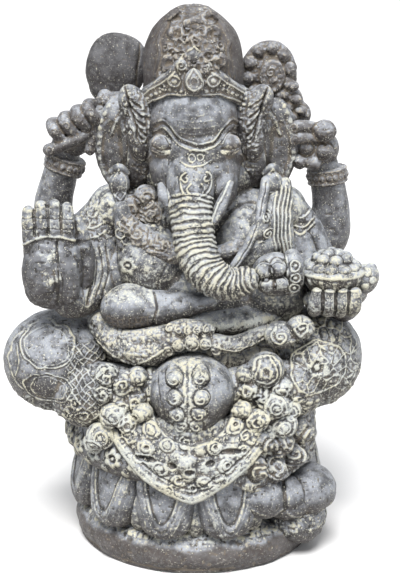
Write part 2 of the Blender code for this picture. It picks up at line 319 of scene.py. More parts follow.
class Stone:
    """A merged skin with carving height, dust (also the painted sheen) and earth (also painted shade), per
    point.
    """

    def __init__(self, name, masses, voxel=1.0, soften=4, dust_and_sheen=0.3, earth_and_shade=0.3):
        self.name = name
        points, faces, shift = [], [], 0
        for mass_points, mass_faces in masses:
            points.append(mass_points)
            faces += [tuple(i + shift for i in face) for face in mass_faces]
            shift += len(mass_points)
        mesh = bpy.data.meshes.new(name)
        mesh.from_pydata((np.vstack(points) * UNIT).tolist(), [], faces)
        draft = bpy.data.objects.new(name + "_draft", mesh)
        bpy.context.scene.collection.objects.link(draft)
        merge = draft.modifiers.new("merge", "REMESH")
        merge.mode = "VOXEL"
        merge.voxel_size = VOXEL * voxel * UNIT
        relax = draft.modifiers.new("soften", "SMOOTH")
        relax.factor = 0.5
        relax.iterations = soften if FINE else 2
        graph = bpy.context.evaluated_depsgraph_get()
        self.mesh = bpy.data.meshes.new_from_object(draft.evaluated_get(graph))
        bpy.data.objects.remove(draft)
        count = len(self.mesh.vertices)
        flat = np.empty(count * 3, np.float32)
        self.mesh.vertices.foreach_get("co", flat)
        self.points = flat.reshape(-1, 3).astype(float) / UNIT
        self.mesh.vertex_normals.foreach_get("vector", flat)
        self.normals = flat.reshape(-1, 3).astype(float)
        edges = np.empty(len(self.mesh.edges) * 2, np.int32)
        self.mesh.edges.foreach_get("vertices", edges)
        self.edges = edges.reshape(-1, 2)
        self.height = np.zeros(count)
        self.dust_and_sheen = np.full(count, float(dust_and_sheen))
        self.earth_and_shade = np.full(count, float(earth_and_shade))
        self.patchy = np.clip(0.75 + 0.9 * grain(self.points, 6.0, 2.1), 0.1, 1.3)
        self.facing = ease(-self.normals[:, 1] * 2.2)
        self.front = self.points[:, [0, 2]] + DRIFT * drift(self.points)

    def around(self, centre=(0, 0), radius=100):
        """Points unrolled about a vertical axis: distance round it (0 at the front) and height."""
        x, y = self.points[:, 0] - centre[0], self.points[:, 1] - centre[1]
        return np.stack([np.arctan2(x, -y) * radius, self.points[:, 2]], -1)

    def carve(self, profile, height, dust_and_sheen=0.0):
        """Raises (or with a negative height, cuts) the profile, and adds dust, with its painted sheen, to
        it.
        """
        self.height += height * profile
        self.dust_and_sheen += 0.65 * dust_and_sheen * np.clip(profile, 0, 1) * self.patchy

    def where(self, zone):
        return self.facing if zone is None else zone

    def line(self, points, width, height, dust_and_sheen=0.0, zone=None):
        """Carves a rounded line. This and the next four work in a zone, or on what faces front."""
        self.carve(self.where(zone) * stroke(self.front, points, width), height, dust_and_sheen)

    def ring(self, centre, radius, width, height, dust_and_sheen=0.0, squash=1.0, zone=None):
        self.carve(self.where(zone) * hoop(self.front, centre, radius, width, squash), height, dust_and_sheen)

    def boss(self, centre, radii, height, dust_and_sheen=0.0, zone=None):
        self.carve(self.where(zone) * blob(self.front, centre, radii), height, dust_and_sheen)

    def flower(self, centre, radius, petals, spin, height, dust_and_sheen=0.0, zone=None):
        self.carve(self.where(zone) * blossom(self.front, centre, radius, petals, spin), height, dust_and_sheen)

    def beads(self, points, radius, spacing, height, dust_and_sheen=0.0, zone=None):
        self.carve(self.where(zone) * bead_row(self.front, points, radius, spacing), height, dust_and_sheen)

    def above(self, level, soft):
        """1 above a level of the drawing plane, easing to 0 over soft. The next three are alike."""
        return ease((self.front[:, 1] - level) / soft)

    def below(self, level, soft):
        return ease((level - self.front[:, 1]) / soft)

    def right_of(self, x, soft):
        return ease((self.front[:, 0] - x) / soft)

    def left_of(self, x, soft):
        return ease((x - self.front[:, 0]) / soft)

    def averaged(self, values, rounds):
        """Values blurred over the surface's own net."""
        a, b = self.edges.T
        count = len(self.points)
        degree = np.bincount(a, minlength=count) + np.bincount(b, minlength=count)
        for _ in range(rounds):
            total = np.empty_like(values)
            for axis in range(values.shape[1]):
                column = values[:, axis]
                total[:, axis] = np.bincount(a, column[b], count) + np.bincount(b, column[a], count)
            values = 0.5 * values + 0.5 * total / degree[:, None]
        return values

    def crust(self, zone, amount=1.0, size=5.0):
        """Worn, half-lost carving: small lumps with creases between them."""
        lumps = np.abs(grain(self.points, size, 6.4)) + 0.5 * np.abs(grain(self.points, size * 0.55, 1.9))
        self.height += zone * amount * (1.6 * lumps - 0.6)
        self.dust_and_sheen += zone * 0.18 * (lumps - 0.4)

    def weather(self, amount=1.0):
        """Worn lumps, fine grain and small pits."""
        self.height += amount * 0.45 * grain(self.points, 17)
        self.height += amount * 0.28 * grain(self.points, 6.5, 4.3)
        pits = np.clip(grain(self.points, 3.1, 9.7) - 0.45, 0, 1)
        self.height -= amount * 1.1 * pits

    def finish(self, finish_name, nodes, wear=0.0):
        """Weathers and moves the points, stores relief, dust with its painted sheen and earth with its
        painted shade, and hands the piece to the frame.
        """
        self.weather(wear)
        moved = self.points + self.normals * self.height[:, None]
        fine = ((moved - self.averaged(moved, 6)) * self.normals).sum(1) / 0.35
        broad = ((moved - self.averaged(moved, 26)) * self.normals).sum(1) / 1.1
        relief = np.clip(0.6 * fine + 0.6 * broad, -1, 1)
        self.mesh.vertices.foreach_set("co", (moved * UNIT).astype(np.float32).ravel())
        for label, values in (("relief", relief), ("dust_and_sheen", self.dust_and_sheen), ("earth_and_shade", self.earth_and_shade)):
            layer = self.mesh.attributes.new(label, "FLOAT", "POINT")
            layer.data.foreach_set("value", values.astype(np.float32))
        self.mesh.shade_smooth()
        self.mesh.materials.clear()
        self.mesh.materials.append(stone_material(finish_name))
        self.mesh.name = self.name
        piece = bpy.data.objects.new(self.name, self.mesh)
        bpy.context.scene.collection.objects.link(piece)
        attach(piece, "root")
        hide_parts(*nodes)
        return piece


# Materials.


def node_maker(tree):
    """A function that adds a node to the tree and sets its properties."""
    def add(kind, **settings):
        node = tree.nodes.new(kind)
        for key, value in settings.items():
            setattr(node, key, value)
        return node

    return add


def stone_material(name):
    """Dark volcanic stone: a broken pale wash on worn ridges, painted shade and ochre dust in hollows, a
    painted sheen on what faces up and painted shade underneath.
    """
    material = bpy.data.materials.get(name + "_look")
    if material:
        return material
    material = bpy.data.materials.new(name + "_look")
    material.use_nodes = True
    tree = material.node_tree
    tree.nodes.clear()
    add, link = node_maker(tree), tree.links.new
    output = add("ShaderNodeOutputMaterial")
    shader = add("ShaderNodeBsdfPrincipled")
    link(shader.outputs[0], output.inputs[0])
    place = add("ShaderNodeTexCoord").outputs["Object"]

    def noise(scale, detail=3.0, rough=0.55):
        node = add("ShaderNodeTexNoise")
        node.inputs["Scale"].default_value = scale
        node.inputs["Detail"].default_value = detail
        node.inputs["Roughness"].default_value = rough
        link(place, node.inputs["Vector"])
        return node.outputs["Fac"]

    def calc(operation, *values):
        node = add("ShaderNodeMath", operation=operation)
        for socket, value in zip(node.inputs, values):
            if isinstance(value, (int, float)):
                socket.default_value = value
            else:
                link(value, socket)
        return node.outputs[0]

    def ramp(value, low, high, start=0.0, end=1.0):
        node = add("ShaderNodeMapRange", interpolation_type="SMOOTHSTEP")
        link(value, node.inputs["Value"])
        for key, number in (("From Min", low), ("From Max", high), ("To Min", start), ("To Max", end)):
            node.inputs[key].default_value = number
        return node.outputs["Result"]

    def mix(factor, first, second):
        node = add("ShaderNodeMix", data_type="RGBA")
        link(factor, node.inputs["Factor"])
        for socket, value in zip((node.inputs["A"], node.inputs["B"]), (first, second)):
            if isinstance(value, tuple):
                socket.default_value = (*value, 1)
            else:
                link(value, socket)
        return node.outputs["Result"]

    def stored(label):
        return add("ShaderNodeAttribute", attribute_name=label).outputs["Fac"]

    relief, dust_and_sheen, earth_and_shade = stored("relief"), stored("dust_and_sheen"), stored("earth_and_shade")
    upward = add("ShaderNodeSeparateXYZ")
    link(add("ShaderNodeNewGeometry").outputs["Normal"], upward.inputs[0])
    up = upward.outputs["Z"]
    clouds, patches, breakup = noise(26, 4), noise(90, 4), noise(300, 5, 0.72)
    specks, fine = noise(700, 3, 0.6), noise(1500, 3, 0.65)

    # Bare stone, with a painted blue-grey sheen on what faces up and painted dark-brown shade underneath.
    mottle = calc("MULTIPLY_ADD", clouds, 0.5, calc("MULTIPLY", patches, 0.5))
    bare = mix(ramp(mottle, 0.40, 0.60), BARE_DARK, BARE_LIGHT)
    # Browner by the earth value: a brown tint of the stone, and painted shade where it browns sides and
    # undersides that lie in shade.
    bare = mix(calc("MULTIPLY", ramp(earth_and_shade, 0.3, 1.0), 0.6), bare, BARE_BROWN)
    # Painted sheen: blue-grey on up-facing patches where dust lies.
    painted_sheen = calc("MULTIPLY", ramp(up, -0.4, 0.65), ramp(patches, 0.35, 0.6, 0.2, 1.0))
    painted_sheen = calc("MULTIPLY", painted_sheen, ramp(dust_and_sheen, 0.0, 0.26))
    bare = mix(calc("MULTIPLY", painted_sheen, 0.9), bare, PAINTED_SHEEN)
    # Painted shade: what faces down turns dark brown.
    bare = mix(ramp(up, -0.55, 0.3), UNDERSIDE_SHADE, bare)
    bare = mix(ramp(breakup, 0.44, 0.66, 0.0, 0.6), bare, GRAIN_LIGHT)
    # Hollows: painted dark shade, turning to ochre dust where the piece has earth.
    hollow = ramp(relief, -0.42, 0.02, 1.0, 0.0)
    ochre_amount = calc("ADD", earth_and_shade, calc("MULTIPLY_ADD", patches, 1.6, -0.8))
    hollow_shade_and_ochre = mix(ramp(ochre_amount, 0.2, 0.75), HOLLOW_SHADE, OCHRE)
    stone = mix(calc("MULTIPLY", hollow, ramp(dust_and_sheen, 0.3, 0.8, 0.9, 0.5)), bare, hollow_shade_and_ochre)
    # Pale wash on ridges and dusty places, broken up by the grain.
    want = calc("MULTIPLY_ADD", relief, 0.55, dust_and_sheen)
    want = calc("ADD", want, calc("MULTIPLY_ADD", breakup, 2.2, -1.1))
    want = calc("ADD", want, calc("MULTIPLY_ADD", patches, 0.8, -0.4))
    wash = ramp(want, 0.52, 0.92)
    pale = mix(ramp(clouds, 0.42, 0.6), WASH_WARM, WASH_COOL)
    pale = mix(ramp(earth_and_shade, 0.4, 0.8), pale, WASH_BROWN)
    # Less of the wash on what faces down.
    wash_facing_up = ramp(up, -0.7, 0.1, 0.3, 0.88)
    coloured = mix(calc("MULTIPLY", wash, wash_facing_up), stone, pale)
    # Pale specks everywhere, thicker where dust lies.
    level = calc("MULTIPLY_ADD", dust_and_sheen, -0.09, 0.655)
    speck = ramp(calc("SUBTRACT", specks, level), 0.0, 0.03)
    coloured = mix(calc("MULTIPLY", speck, 0.85), coloured, SPECK)
    link(coloured, shader.inputs["Base Color"])

    rough = calc("MULTIPLY_ADD", wash, 0.3, 0.34)
    rough = calc("MULTIPLY_ADD", breakup, 0.15, rough)
    link(rough, shader.inputs["Roughness"])
    shader.inputs["Specular IOR Level"].default_value = 0.55
    bump = add("ShaderNodeBump")
    bump.inputs["Strength"].default_value = 1.0
    bump.inputs["Distance"].default_value = 0.0012
    link(calc("MULTIPLY_ADD", fine, 0.4, breakup), bump.inputs["Height"])
    link(bump.outputs["Normal"], shader.inputs["Normal"])
    return material


# The seat.


def make_slab():
    """The round foot slab: earthy rim, dusty worn top."""
    base = middle("foot_slab")
    radius = reach("foot_slab")[0]
    top = 2 * reach("foot_slab")[2]
    profile = [(0, top), (60, top), (100, top - 2), (radius - 14, top - 9), (radius - 3, top - 19)]
    profile += [(radius, 14), (radius - 4, 4), (radius - 12, 0), (60, 0), (0, 0)]
    slab = Stone(
        "foot_slab_carved", [turned(smooth_profile(profile, 60), base)], 1.55, dust_and_sheen=0.0, earth_and_shade=0.35
    )
    slab.height += 2.2 * grain(slab.points, 38) + 1.6 * grain(slab.points, 13, 2)
    high = ease((slab.points[:, 2] - 24) / 10 + 0.3 * grain(slab.points, 12, 7))
    slab.dust_and_sheen += 0.46 * high
    slab.earth_and_shade += 0.6 * (1 - high)
    slab.crust(high, 0.8, 6)
    slab.weather(2.0)
    slab.height[slab.points[:, 2] < 3] = 0
    slab.finish("carved_stone", ["foot_slab"])


def make_core():
    """The block behind the petals, with the tips of a second row of petals between them."""
    radius, low, high = reach("lotus_core")[0], 42, middle("lotus_core")[2] + reach("lotus_core")[2]
    masses = [turned([(0, high), (radius, high), (radius + 2, 70), (radius + 4, low), (0, low)])]
    for number in range(12):
        angle = math.radians(-90 + 30 * number)
        centre = ((radius + 10) * math.cos(angle), (radius + 10) * math.sin(angle), 60)
        masses.append(ball(centre, (13, 12, 24), (-8, 0, math.degrees(angle) + 90)))
    core = Stone("lotus_core_carved", masses, 1.4, dust_and_sheen=0.3)
    core.finish("polished_stone", ["lotus_core"], wear=1.3)


def make_petal(node):
    """A hanging petal: a smooth sunk panel inside a double rim."""
    centre = middle(node)
    angle = math.atan2(centre[1], centre[0])
    outward = np.array([math.cos(angle), math.sin(angle), 0])
    sideways = np.array([-math.sin(angle), math.cos(angle), 0])
    turn = (-12, 0, math.degrees(angle) + 90)
    foot, half = 36, 30
    heart = centre - outward * 3
    heart[2] = foot + 44
    petal = Stone(node + "_carved", [ball(heart, (half, 17, 44), turn, square=3.0)], 0.95, 5, 0.12, 0.3)
    flat = np.stack([(petal.points - heart) @ sideways, petal.points[:, 2]], -1)
    flat += DRIFT * drift(petal.points)
    outer = ease(((petal.points - heart) @ outward) / 5)
    side = np.linspace(-1, 1, 17)
    rise = lambda x: foot + 5 + 52 * np.abs(x) ** 2.0
    outer_rim = np.stack([(half - 4.5) * side, rise(side)], -1)
    inner_rim = np.stack([(half - 10) * side, rise(side) + 8], -1)
    petal.carve(outer * np.clip(1.5 * stroke(flat, outer_rim, 6, sharp=True), 0, 1), 1.3, 0.04)
    petal.carve(outer * stroke(flat, inner_rim, 2.2, sharp=True), 0.5, 0.06)
    inside = ease((flat[:, 1] - rise(flat[:, 0] / (half - 10)) - 10) / 6)
    petal.carve(outer * inside, -1.8)
    petal.dust_and_sheen += 0.16 * outer * (1 - inside) + 0.1 * inside
    petal.finish("polished_stone", [node], wear=1.0)


def make_bulky_petal(node):
    """The swollen petal under the figure's left knee, grooved into two lobes."""
    shapes = [
        ball((68, -96, 72), (31, 25, 22), (0, 10, 38)),
        ball((90, -84, 70), (24, 26, 20)),
        ball((113, -62, 67), (33, 38, 25), (0, 0, -10)),
        ball((92, -74, 62), (30, 34, 20)),
        ball((104, -56, 36), (32, 42, 30)),
    ]
    petal = Stone(node + "_carved", shapes, 1.0, dust_and_sheen=0.16, earth_and_shade=0.3)
    petal.points[:, 2] = np.maximum(petal.points[:, 2], 4)
    low = ease((62 - petal.points[:, 2]) / 12)
    petal.dust_and_sheen += 0.14 * low * ease((petal.points[:, 2] - 26) / 10)
    petal.crust(low, 1.0, 6)
    rim = [(46, 88), (56, 70), (74, 60), (88, 64), (102, 52), (128, 50), (144, 64)]
    petal.line(rim, 2.6, 1.0, 0.25)
    petal.line([(88, 92), (90, 78), (90, 62)], 4, -2.0, 0.1)
    petal.finish("polished_stone", [node], wear=1.5)


def make_cushion():
    """The seat's rim of flowers, with beads and scrolls between them."""
    centre = middle("seat_cushion")
    radius = reach("seat_cushion")[0]
    profile = [(0, 142), (80, 142), (116, 139), (radius - 4, 128), (radius, 112), (radius - 6, 99)]
    profile += [(radius - 20, 91), (60, 89), (0, 89)]
    seat = Stone("seat_cushion_carved", [turned(smooth_profile(profile, 60), centre)], 1.55, dust_and_sheen=0.34)
    seat.front = seat.around(centre, radius)
    seat.facing = ease((seat.points[:, 2] - 90) / 6) * ease((141 - seat.points[:, 2]) / 4)
    circumference = TAU * radius
    for number in range(30):
        along = (number / 30 - 0.5) * circumference
        between = along + circumference / 60
        seat.flower((along, 117), 12.5, 6, number, 2.4, 0.16)
        seat.boss((between, 103), (5, 5), 2.0, 0.16)
        seat.line(curl((between, 130), 6, 1.2, 90), 1.6, 1.5, 0.2)
    seat.finish("carved_stone", ["seat_cushion"], wear=1.2)


# Cloth over the seat's front.


def hanging_cloth(upper, lower, radius_at, thickness, centre=(0, 0), columns=72, rows=26):
    """A curved sheet of stone between an upper and a lower edge, both given as z over x.

    radius_at gives the seat's radius at a height, so the cloth hugs it."""
    xs = np.linspace(upper[0][0], upper[-1][0], columns)
    top = np.interp(xs, [p[0] for p in upper], [p[1] for p in upper])
    bottom = np.interp(xs, [p[0] for p in lower], [p[1] for p in lower])
    t = np.linspace(0, 1, rows)[:, None]
    heights = top + (bottom - top) * t
    radius = radius_at(heights)
    x = xs[None, :] + 0 * heights
    depth = lambda r: -np.sqrt(np.maximum(r**2 - (x - centre[0]) ** 2, 1)) + centre[1]
    outer = np.stack([x, depth(radius), heights], -1)
    inner = np.stack([x, depth(radius - thickness), heights], -1)
    points = np.vstack([outer.reshape(-1, 3), inner.reshape(-1, 3)])
    index = np.arange(rows * columns).reshape(rows, columns)
    back = index + rows * columns
    faces = []
    for i in range(rows - 1):
        for j in range(columns - 1):
            faces.append((index[i, j], index[i, j + 1], index[i + 1, j + 1], index[i + 1, j]))
            faces.append((back[i, j], back[i + 1, j], back[i + 1, j + 1], back[i, j + 1]))
    loop = [*index[0, :-1], *index[:-1, -1], *index[-1, :0:-1], *index[:0:-1, 0]]
    loop_back = [i + rows * columns for i in loop]
    for i in range(len(loop)):
        j = (i + 1) % len(loop)
        faces.append((loop[j], loop[i], loop_back[i], loop_back[j]))
    return points, [tuple(int(i) for i in face) for face in faces]


def apron_radius(height):
    """How far the cloth's face stands from the seat's axis at a height."""
    return np.interp(
        height, [70, 84, 100, 120, 140, 156, 172, 190], [133, 136, 137, 137, 135, 128, 116, 104]
    )


def make_apron():
    """The cloth's front: a V of rosettes inside a smooth raised rim, knotted at its upper corners."""
    upper = [(-100, 172), (-62, 186), (-48, 178), (-38, 158), (-23, 146), (-4, 141)]
    upper += [(15, 146), (31, 158), (42, 178), (56, 188), (98, 178)]
    lower = [(-100, 152), (-88, 148), (-74, 128), (-55, 107), (-36, 95), (-16, 86), (-5, 82)]
    lower += [(6, 86), (14, 91), (34, 104), (51, 117), (66, 132), (84, 148), (98, 152)]
    cloth = hanging_cloth(upper, lower, apron_radius, 30)
    knots = [(-82, -104, 164, 14), (-68, -108, 157, 11), (-95, -98, 140, 15), (-103, -92, 130, 11)]
    knots += [(79, -104, 174, 14), (60, -112, 162, 12), (88, -100, 152, 14), (96, -94, 166, 10)]
    knots += [
        (-6, -133, 128, 8), (-18, -132, 131, 8), (4, -132, 137, 7), (-52, -112, 170, 10),
        (46, -112, 172, 10)
    ]
    shapes = [cloth] + [ball((x, y, z), (r, 0.9 * r, 0.9 * r)) for x, y, z, r in knots]
    shapes.append(limb([(-10, -133, 124), (-6, -136, 112)], (11, 6)))
    shapes.append(ball((-4, -98, 148), (42, 30, 26)))
    apron = Stone("front_apron_carved", shapes, 1.0, soften=4, dust_and_sheen=0.56, earth_and_shade=0.36)
    flat, face = apron.front, apron.facing
    rim = [(-106, 158), (-88, 150), (-74, 131), (-55, 110), (-36, 98), (-16, 89), (-4, 86)]
    rim += [(12, 93), (34, 107), (51, 120), (66, 135), (86, 152)]
    band = np.clip(1.7 * stroke(flat, rim, 7.5), 0, 1)
    apron.carve(face * band, 2.0, 0.08)
    apron.line([(x * 0.98, z + 11.5) for x, z in rim], 2.2, -1.5, -0.1)
    free = face * (1 - band)
    flowers = [(-49, 137, 9), (-36, 118, 9), (-17, 106, 8), (8, 105, 8), (30, 121, 9), (58, 147, 10)]
    flowers += [(38, 158, 9), (-44, 154, 9), (18, 140, 8), (-66, 146, 9), (46, 134, 8), (-28, 142, 8)]
    flowers += [(-60, 166, 9), (68, 164, 9), (-4, 98, 5), (24, 108, 6), (-56, 126, 6), (34, 172, 7)]
    for number, (x, z, size) in enumerate(flowers):
        apron.boss((x, z), (size, size * 0.9), 2.6, zone=free)
        apron.ring((x, z), size * 0.55, 1.6, -0.9, 0.1, zone=free)
        apron.boss((x + 1, z + 1), (2.6, 2.4), (-3.0, 1.2)[number % 2], -0.2, zone=free)
    for x, z, width in ((-50, 126, 11), (34, 135, 11), (-6, 117, 5), (-24, 122, 5), (14, 124, 5)):
        apron.boss((x, z), (width, 3.6), -4.0, -0.4, zone=free)
    for x, z, hand in (
        (-72, 138, 1), (-26, 96, -1), (17, 98, 1), (48, 148, 1), (72, 150, -1), (-10, 144, 1)
    ):
        apron.line(curl((x, z), 6, 1.3, 60 * x, hand), 1.6, 1.5, 0.15, zone=free)
    for x, _, z, r in knots[:8]:
        for part in (0.75, 0.4):
            apron.ring((x, z), r * part, 1.7, 1.2, 0.15)
    apron.crust(free, 0.7, 5.5)
    apron.finish("carved_stone", ["front_apron"], wear=1.2)


def make_hip_drape():
    """The second layer of cloth at the figure's left, darker and deeply cut."""
    radius_at = lambda z: np.interp(z, [70, 100, 130, 160], [131, 133, 128, 118])
    upper = [(36, 156), (80, 158), (124, 152)]
    lower = [(36, 98), (58, 86), (90, 92), (124, 100)]
    shapes = [hanging_cloth(upper, lower, radius_at, 34)]
    for x, z, r in (
        (60, 112, 12), (80, 104, 12), (98, 112, 13), (84, 130, 13), (104, 136, 14), (66, 138, 11)
    ):
        shapes.append(ball((x, -math.sqrt(130**2 - x**2), z), (r, r, r)))
    drape = Stone("left_hip_drape_carved", shapes, 1.1, dust_and_sheen=0.24, earth_and_shade=0.5)
    drape.front = drape.around((0, 0), 130) + 1.5 * drift(drape.points)
    drape.facing = ease(1.2 - np.abs(drape.normals[:, 2]))
    for x, z, size in (
        (62, 108, 9), (84, 112, 10), (106, 118, 10), (122, 132, 10), (94, 134, 10), (74, 134, 9)
    ):
        drape.line(curl((x, z), size, 1.3, 30 * x), 2.2, 2.4, 0.25)
        drape.ring((x, z), size * 1.15, 2.4, -2.0)
    drape.crust(drape.facing, 1.8, 7)
    drape.finish("carved_stone", ["left_hip_drape"], wear=1.6)


# Legs and feet.


def make_right_leg():
    """The bent leg with rings on its knee and scales and scrolls along the shin."""
    shapes = [
        ball((-142, -22, 194), (59, 58, 53)),
        ball((-85, 8, 206), (56, 56, 40), (0, -8, 0)),
        limb([(-134, -40, 172), (-112, -62, 171), (-76, -76, 177), (-48, -80, 184)], (24, 34, 30, 24)),
    ]
    for x, z, r in (
        (-72, 196, 13), (-88, 204, 12), (-60, 176, 12), (-76, 168, 13), (-92, 186, 11), (-58, 202, 10)
    ):
        shapes.append(ball((x, -98, z), (r, 12, r)))
    leg = Stone("right_leg_carved", shapes, 1.1, 9, 0.3, 0.35)
    leg.front = leg.front + 1.4 * (leg.front - leg.points[:, [0, 2]])
    flat, face = leg.front, leg.facing
    leg.ring((-150, 223), 28, 1.7, 1.1, 0.5, squash=0.7)
    leg.ring((-150, 223), 23, 1.1, 0.6, 0.3, squash=0.7)
    leg.ring((-149, 182), 25, 1.7, 1.2, 0.4, squash=0.6)
    leg.ring((-149, 182), 19, 1.2, 0.8, 0.25, squash=0.6)
    leg.line([(-169, 240), (-184, 226), (-191, 206), (-186, 190), (-176, 176)], 1.6, 1.1, 0.45)
    leg.line([(-182, 222), (-178, 206), (-182, 192)], 1.3, 0.8, 0.35)
    # A net of scales between the knee and the ankle.
    slant = np.stack([flat[:, 0] + 1.1 * flat[:, 1], flat[:, 0] - 1.1 * flat[:, 1]], -1)
    net = np.minimum(*(np.abs((slant[:, i] / 9) % 1 - 0.5) for i in range(2)))
    zone = face * ease((-88 - flat[:, 0]) / 8 + 1) * leg.right_of(-134, 8) * leg.below(228, 10)
    leg.carve(zone * ease(1 - net / 0.16), 1.2, 0.2)
    for x, z, hand in (
        (-88, 204, 1), (-72, 196, -1), (-76, 168, 1), (-60, 177, -1), (-92, 186, 1), (-112, 160, -1)
    ):
        leg.line(curl((x, z), 8.5, 1.4, 40 * hand, hand), 1.8, 1.6, 0.3)
    for x, z in ((-128, 158), (-142, 152), (-156, 156), (-120, 172), (-170, 164)):
        leg.flower((x, z), 8, 6, x, 1.2, 0.15)
    inner = face * leg.right_of(-104, 14)
    leg.crust(inner, 1.5, 5.5)
    leg.crust(face * leg.below(176, 12), 0.9, 5.5)
    leg.dust_and_sheen += 0.14 * inner
    leg.finish("carved_stone", ["right_leg", "right_shin"], wear=1.2)


def make_left_leg():
    """The bent leg with a beaded flower on its knee and a leaf above the ankle."""
    shapes = [
        ball((120, -22, 198), (53, 58, 52)),
        ball((76, 8, 206), (56, 56, 40), (0, 8, 0)),
        limb([(116, -40, 176), (98, -60, 178), (68, -76, 182), (42, -80, 184)], (22, 32, 28, 22)),
        ball((69, -95, 208), (19, 17, 18)),
        ball((84, -76, 238), (16, 14, 14)),
        ball((104, -76, 246), (14, 12, 12)),
    ]
    for x, z, r in ((52, 188, 12), (68, 180, 12), (84, 190, 12), (50, 204, 10), (86, 170, 11)):
        shapes.append(ball((x, -97, z), (r, 12, r)))
    leg = Stone("left_leg_carved", shapes, 1.1, 7, 0.42, 0.35)
    leg.front = leg.front + 1.4 * (leg.front - leg.points[:, [0, 2]])
    flat, face = leg.front, leg.facing
    seam = cells(flat, 12, 4, 0.45)
    knee = face * leg.right_of(92, 8) * leg.above(166, 8)
    leg.carve(knee * ease(1 - seam / 1.5), 0.9, 0.4)
    leg.ring((123, 203), 28, 1.7, 1.3, 0.4, squash=0.9)
    leg.flower((122, 204), 17, 5, 0.6, 1.2, 0.2)
    arc = [(93, 192), (100, 178), (116, 169), (134, 168), (150, 177), (162, 196)]
    leg.beads(arc, 3.2, 7, 1.2, 0.2)
    leg.line([(x, z - 5) for x, z in arc], 1.5, 1.0, 0.35)
    for z in (240, 232):
        leg.beads([(96, z - 6), (118, z + 4), (146, z - 4)], 3.4, 7.5, 1.0, 0.2)
    leg.ring((69, 208), 14, 1.8, 1.1, 0.3, squash=1.1)
    leaf = [(68, 226), (60, 212), (60, 203), (69, 197), (78, 203), (78, 212), (68, 226)]
    leg.line(leaf, 1.6, 1.1, 0.3)
    leg.boss((69, 209), (4, 5), -1.6)
    for x, z, r in ((84, 240, 9), (104, 248, 8), (52, 188, 8), (68, 180, 8), (84, 188, 8), (86, 168, 7)):
        leg.line(curl((x, z), r, 1.4, 40 * x), 1.8, 1.4, 0.25)
    for x, z in ((108, 160), (124, 156), (140, 162), (98, 172)):
        leg.flower((x, z), 8, 6, x, 1.4, 0.15)
    inner = face * leg.left_of(96, 12) * leg.below(198, 10)
    leg.crust(inner, 1.5, 5.5)
    leg.crust(face, 0.5, 5.5)
    leg.finish("carved_stone", ["left_leg", "left_shin"], wear=1.2)


def make_feet():
    """Both soles pressed together into one dome, with the toes in two columns."""
    centre, radii = (-4, -90, 184), (44, 45, 38)
    toes = []
    columns = (((-21, 208), (-20, 191), (-18, 174), (-15, 160)), ((5, 210), (5, 192), (3, 175), (1, 161)))
    for column in columns:
        for number, (x, z) in enumerate(column):
            lift = 45 * math.sqrt(1 - ((x - centre[0]) / 46) ** 2 - ((z - centre[2]) / 43) ** 2)
            toes.append((x, centre[1] - lift, z, 8.4 - 0.4 * number))
    shapes = [ball(centre, radii, (4, 0, 0)), ball((-4, -95, 168), (33, 38, 28))]
    shapes.append(ball((-5, -58, 214), (40, 28, 16)))
    shapes += [ball((x, y + 2.2, z), (r + 0.8, r * 0.85, r * 0.95)) for x, y, z, r in toes]
    feet = Stone("feet_carved", shapes, 0.85, 4, 0.34, 0.25)
    flat, face = feet.front, feet.facing
    for x, _, z, r in toes:
        feet.line(curl((x, z), r * 0.62, 0.75, 200, 1), 1.5, 1.2, 0.4)
        feet.ring((x, z), r * 1.05, 1.7, -1.0, -0.05)
    feet.line([(-9, 219), (-8, 196), (-8, 168), (-8, 150)], 3.0, -1.3, 0.25)
    feet.line([(-38, 208), (-36, 190), (-30, 168), (-20, 150)], 2.2, -0.8)
    feet.dust_and_sheen += 0.26 * face * ease(1 - np.abs(flat[:, 0] + 8) / 26) + 0.16 * feet.above(206, 14)
    feet.crust(face * ease(1 - np.abs(flat[:, 0] + 8) / 24), 0.6, 4.5)
    feet.finish("polished_stone", ["right_foot", "left_foot"], wear=1.0)


def make_hips():
    """The lap between the legs, and the seat of the figure behind."""
    shapes = [ball((-3, 16, 193), (108, 80, 50)), ball((-4, -34, 212), (96, 50, 30))]
    hips = Stone("hips_carved", shapes, 1.4, dust_and_sheen=0.55, earth_and_shade=0.6)
    hips.crust(ease(hips.normals[:, 2] * 2), 0.8)
    hips.carve(ease(1 - cells(hips.around((-3, 16), 95), 17, 9) / 3.5), -1.0)
    hips.finish("carved_stone", ["hips"], wear=1.4)


# Body.


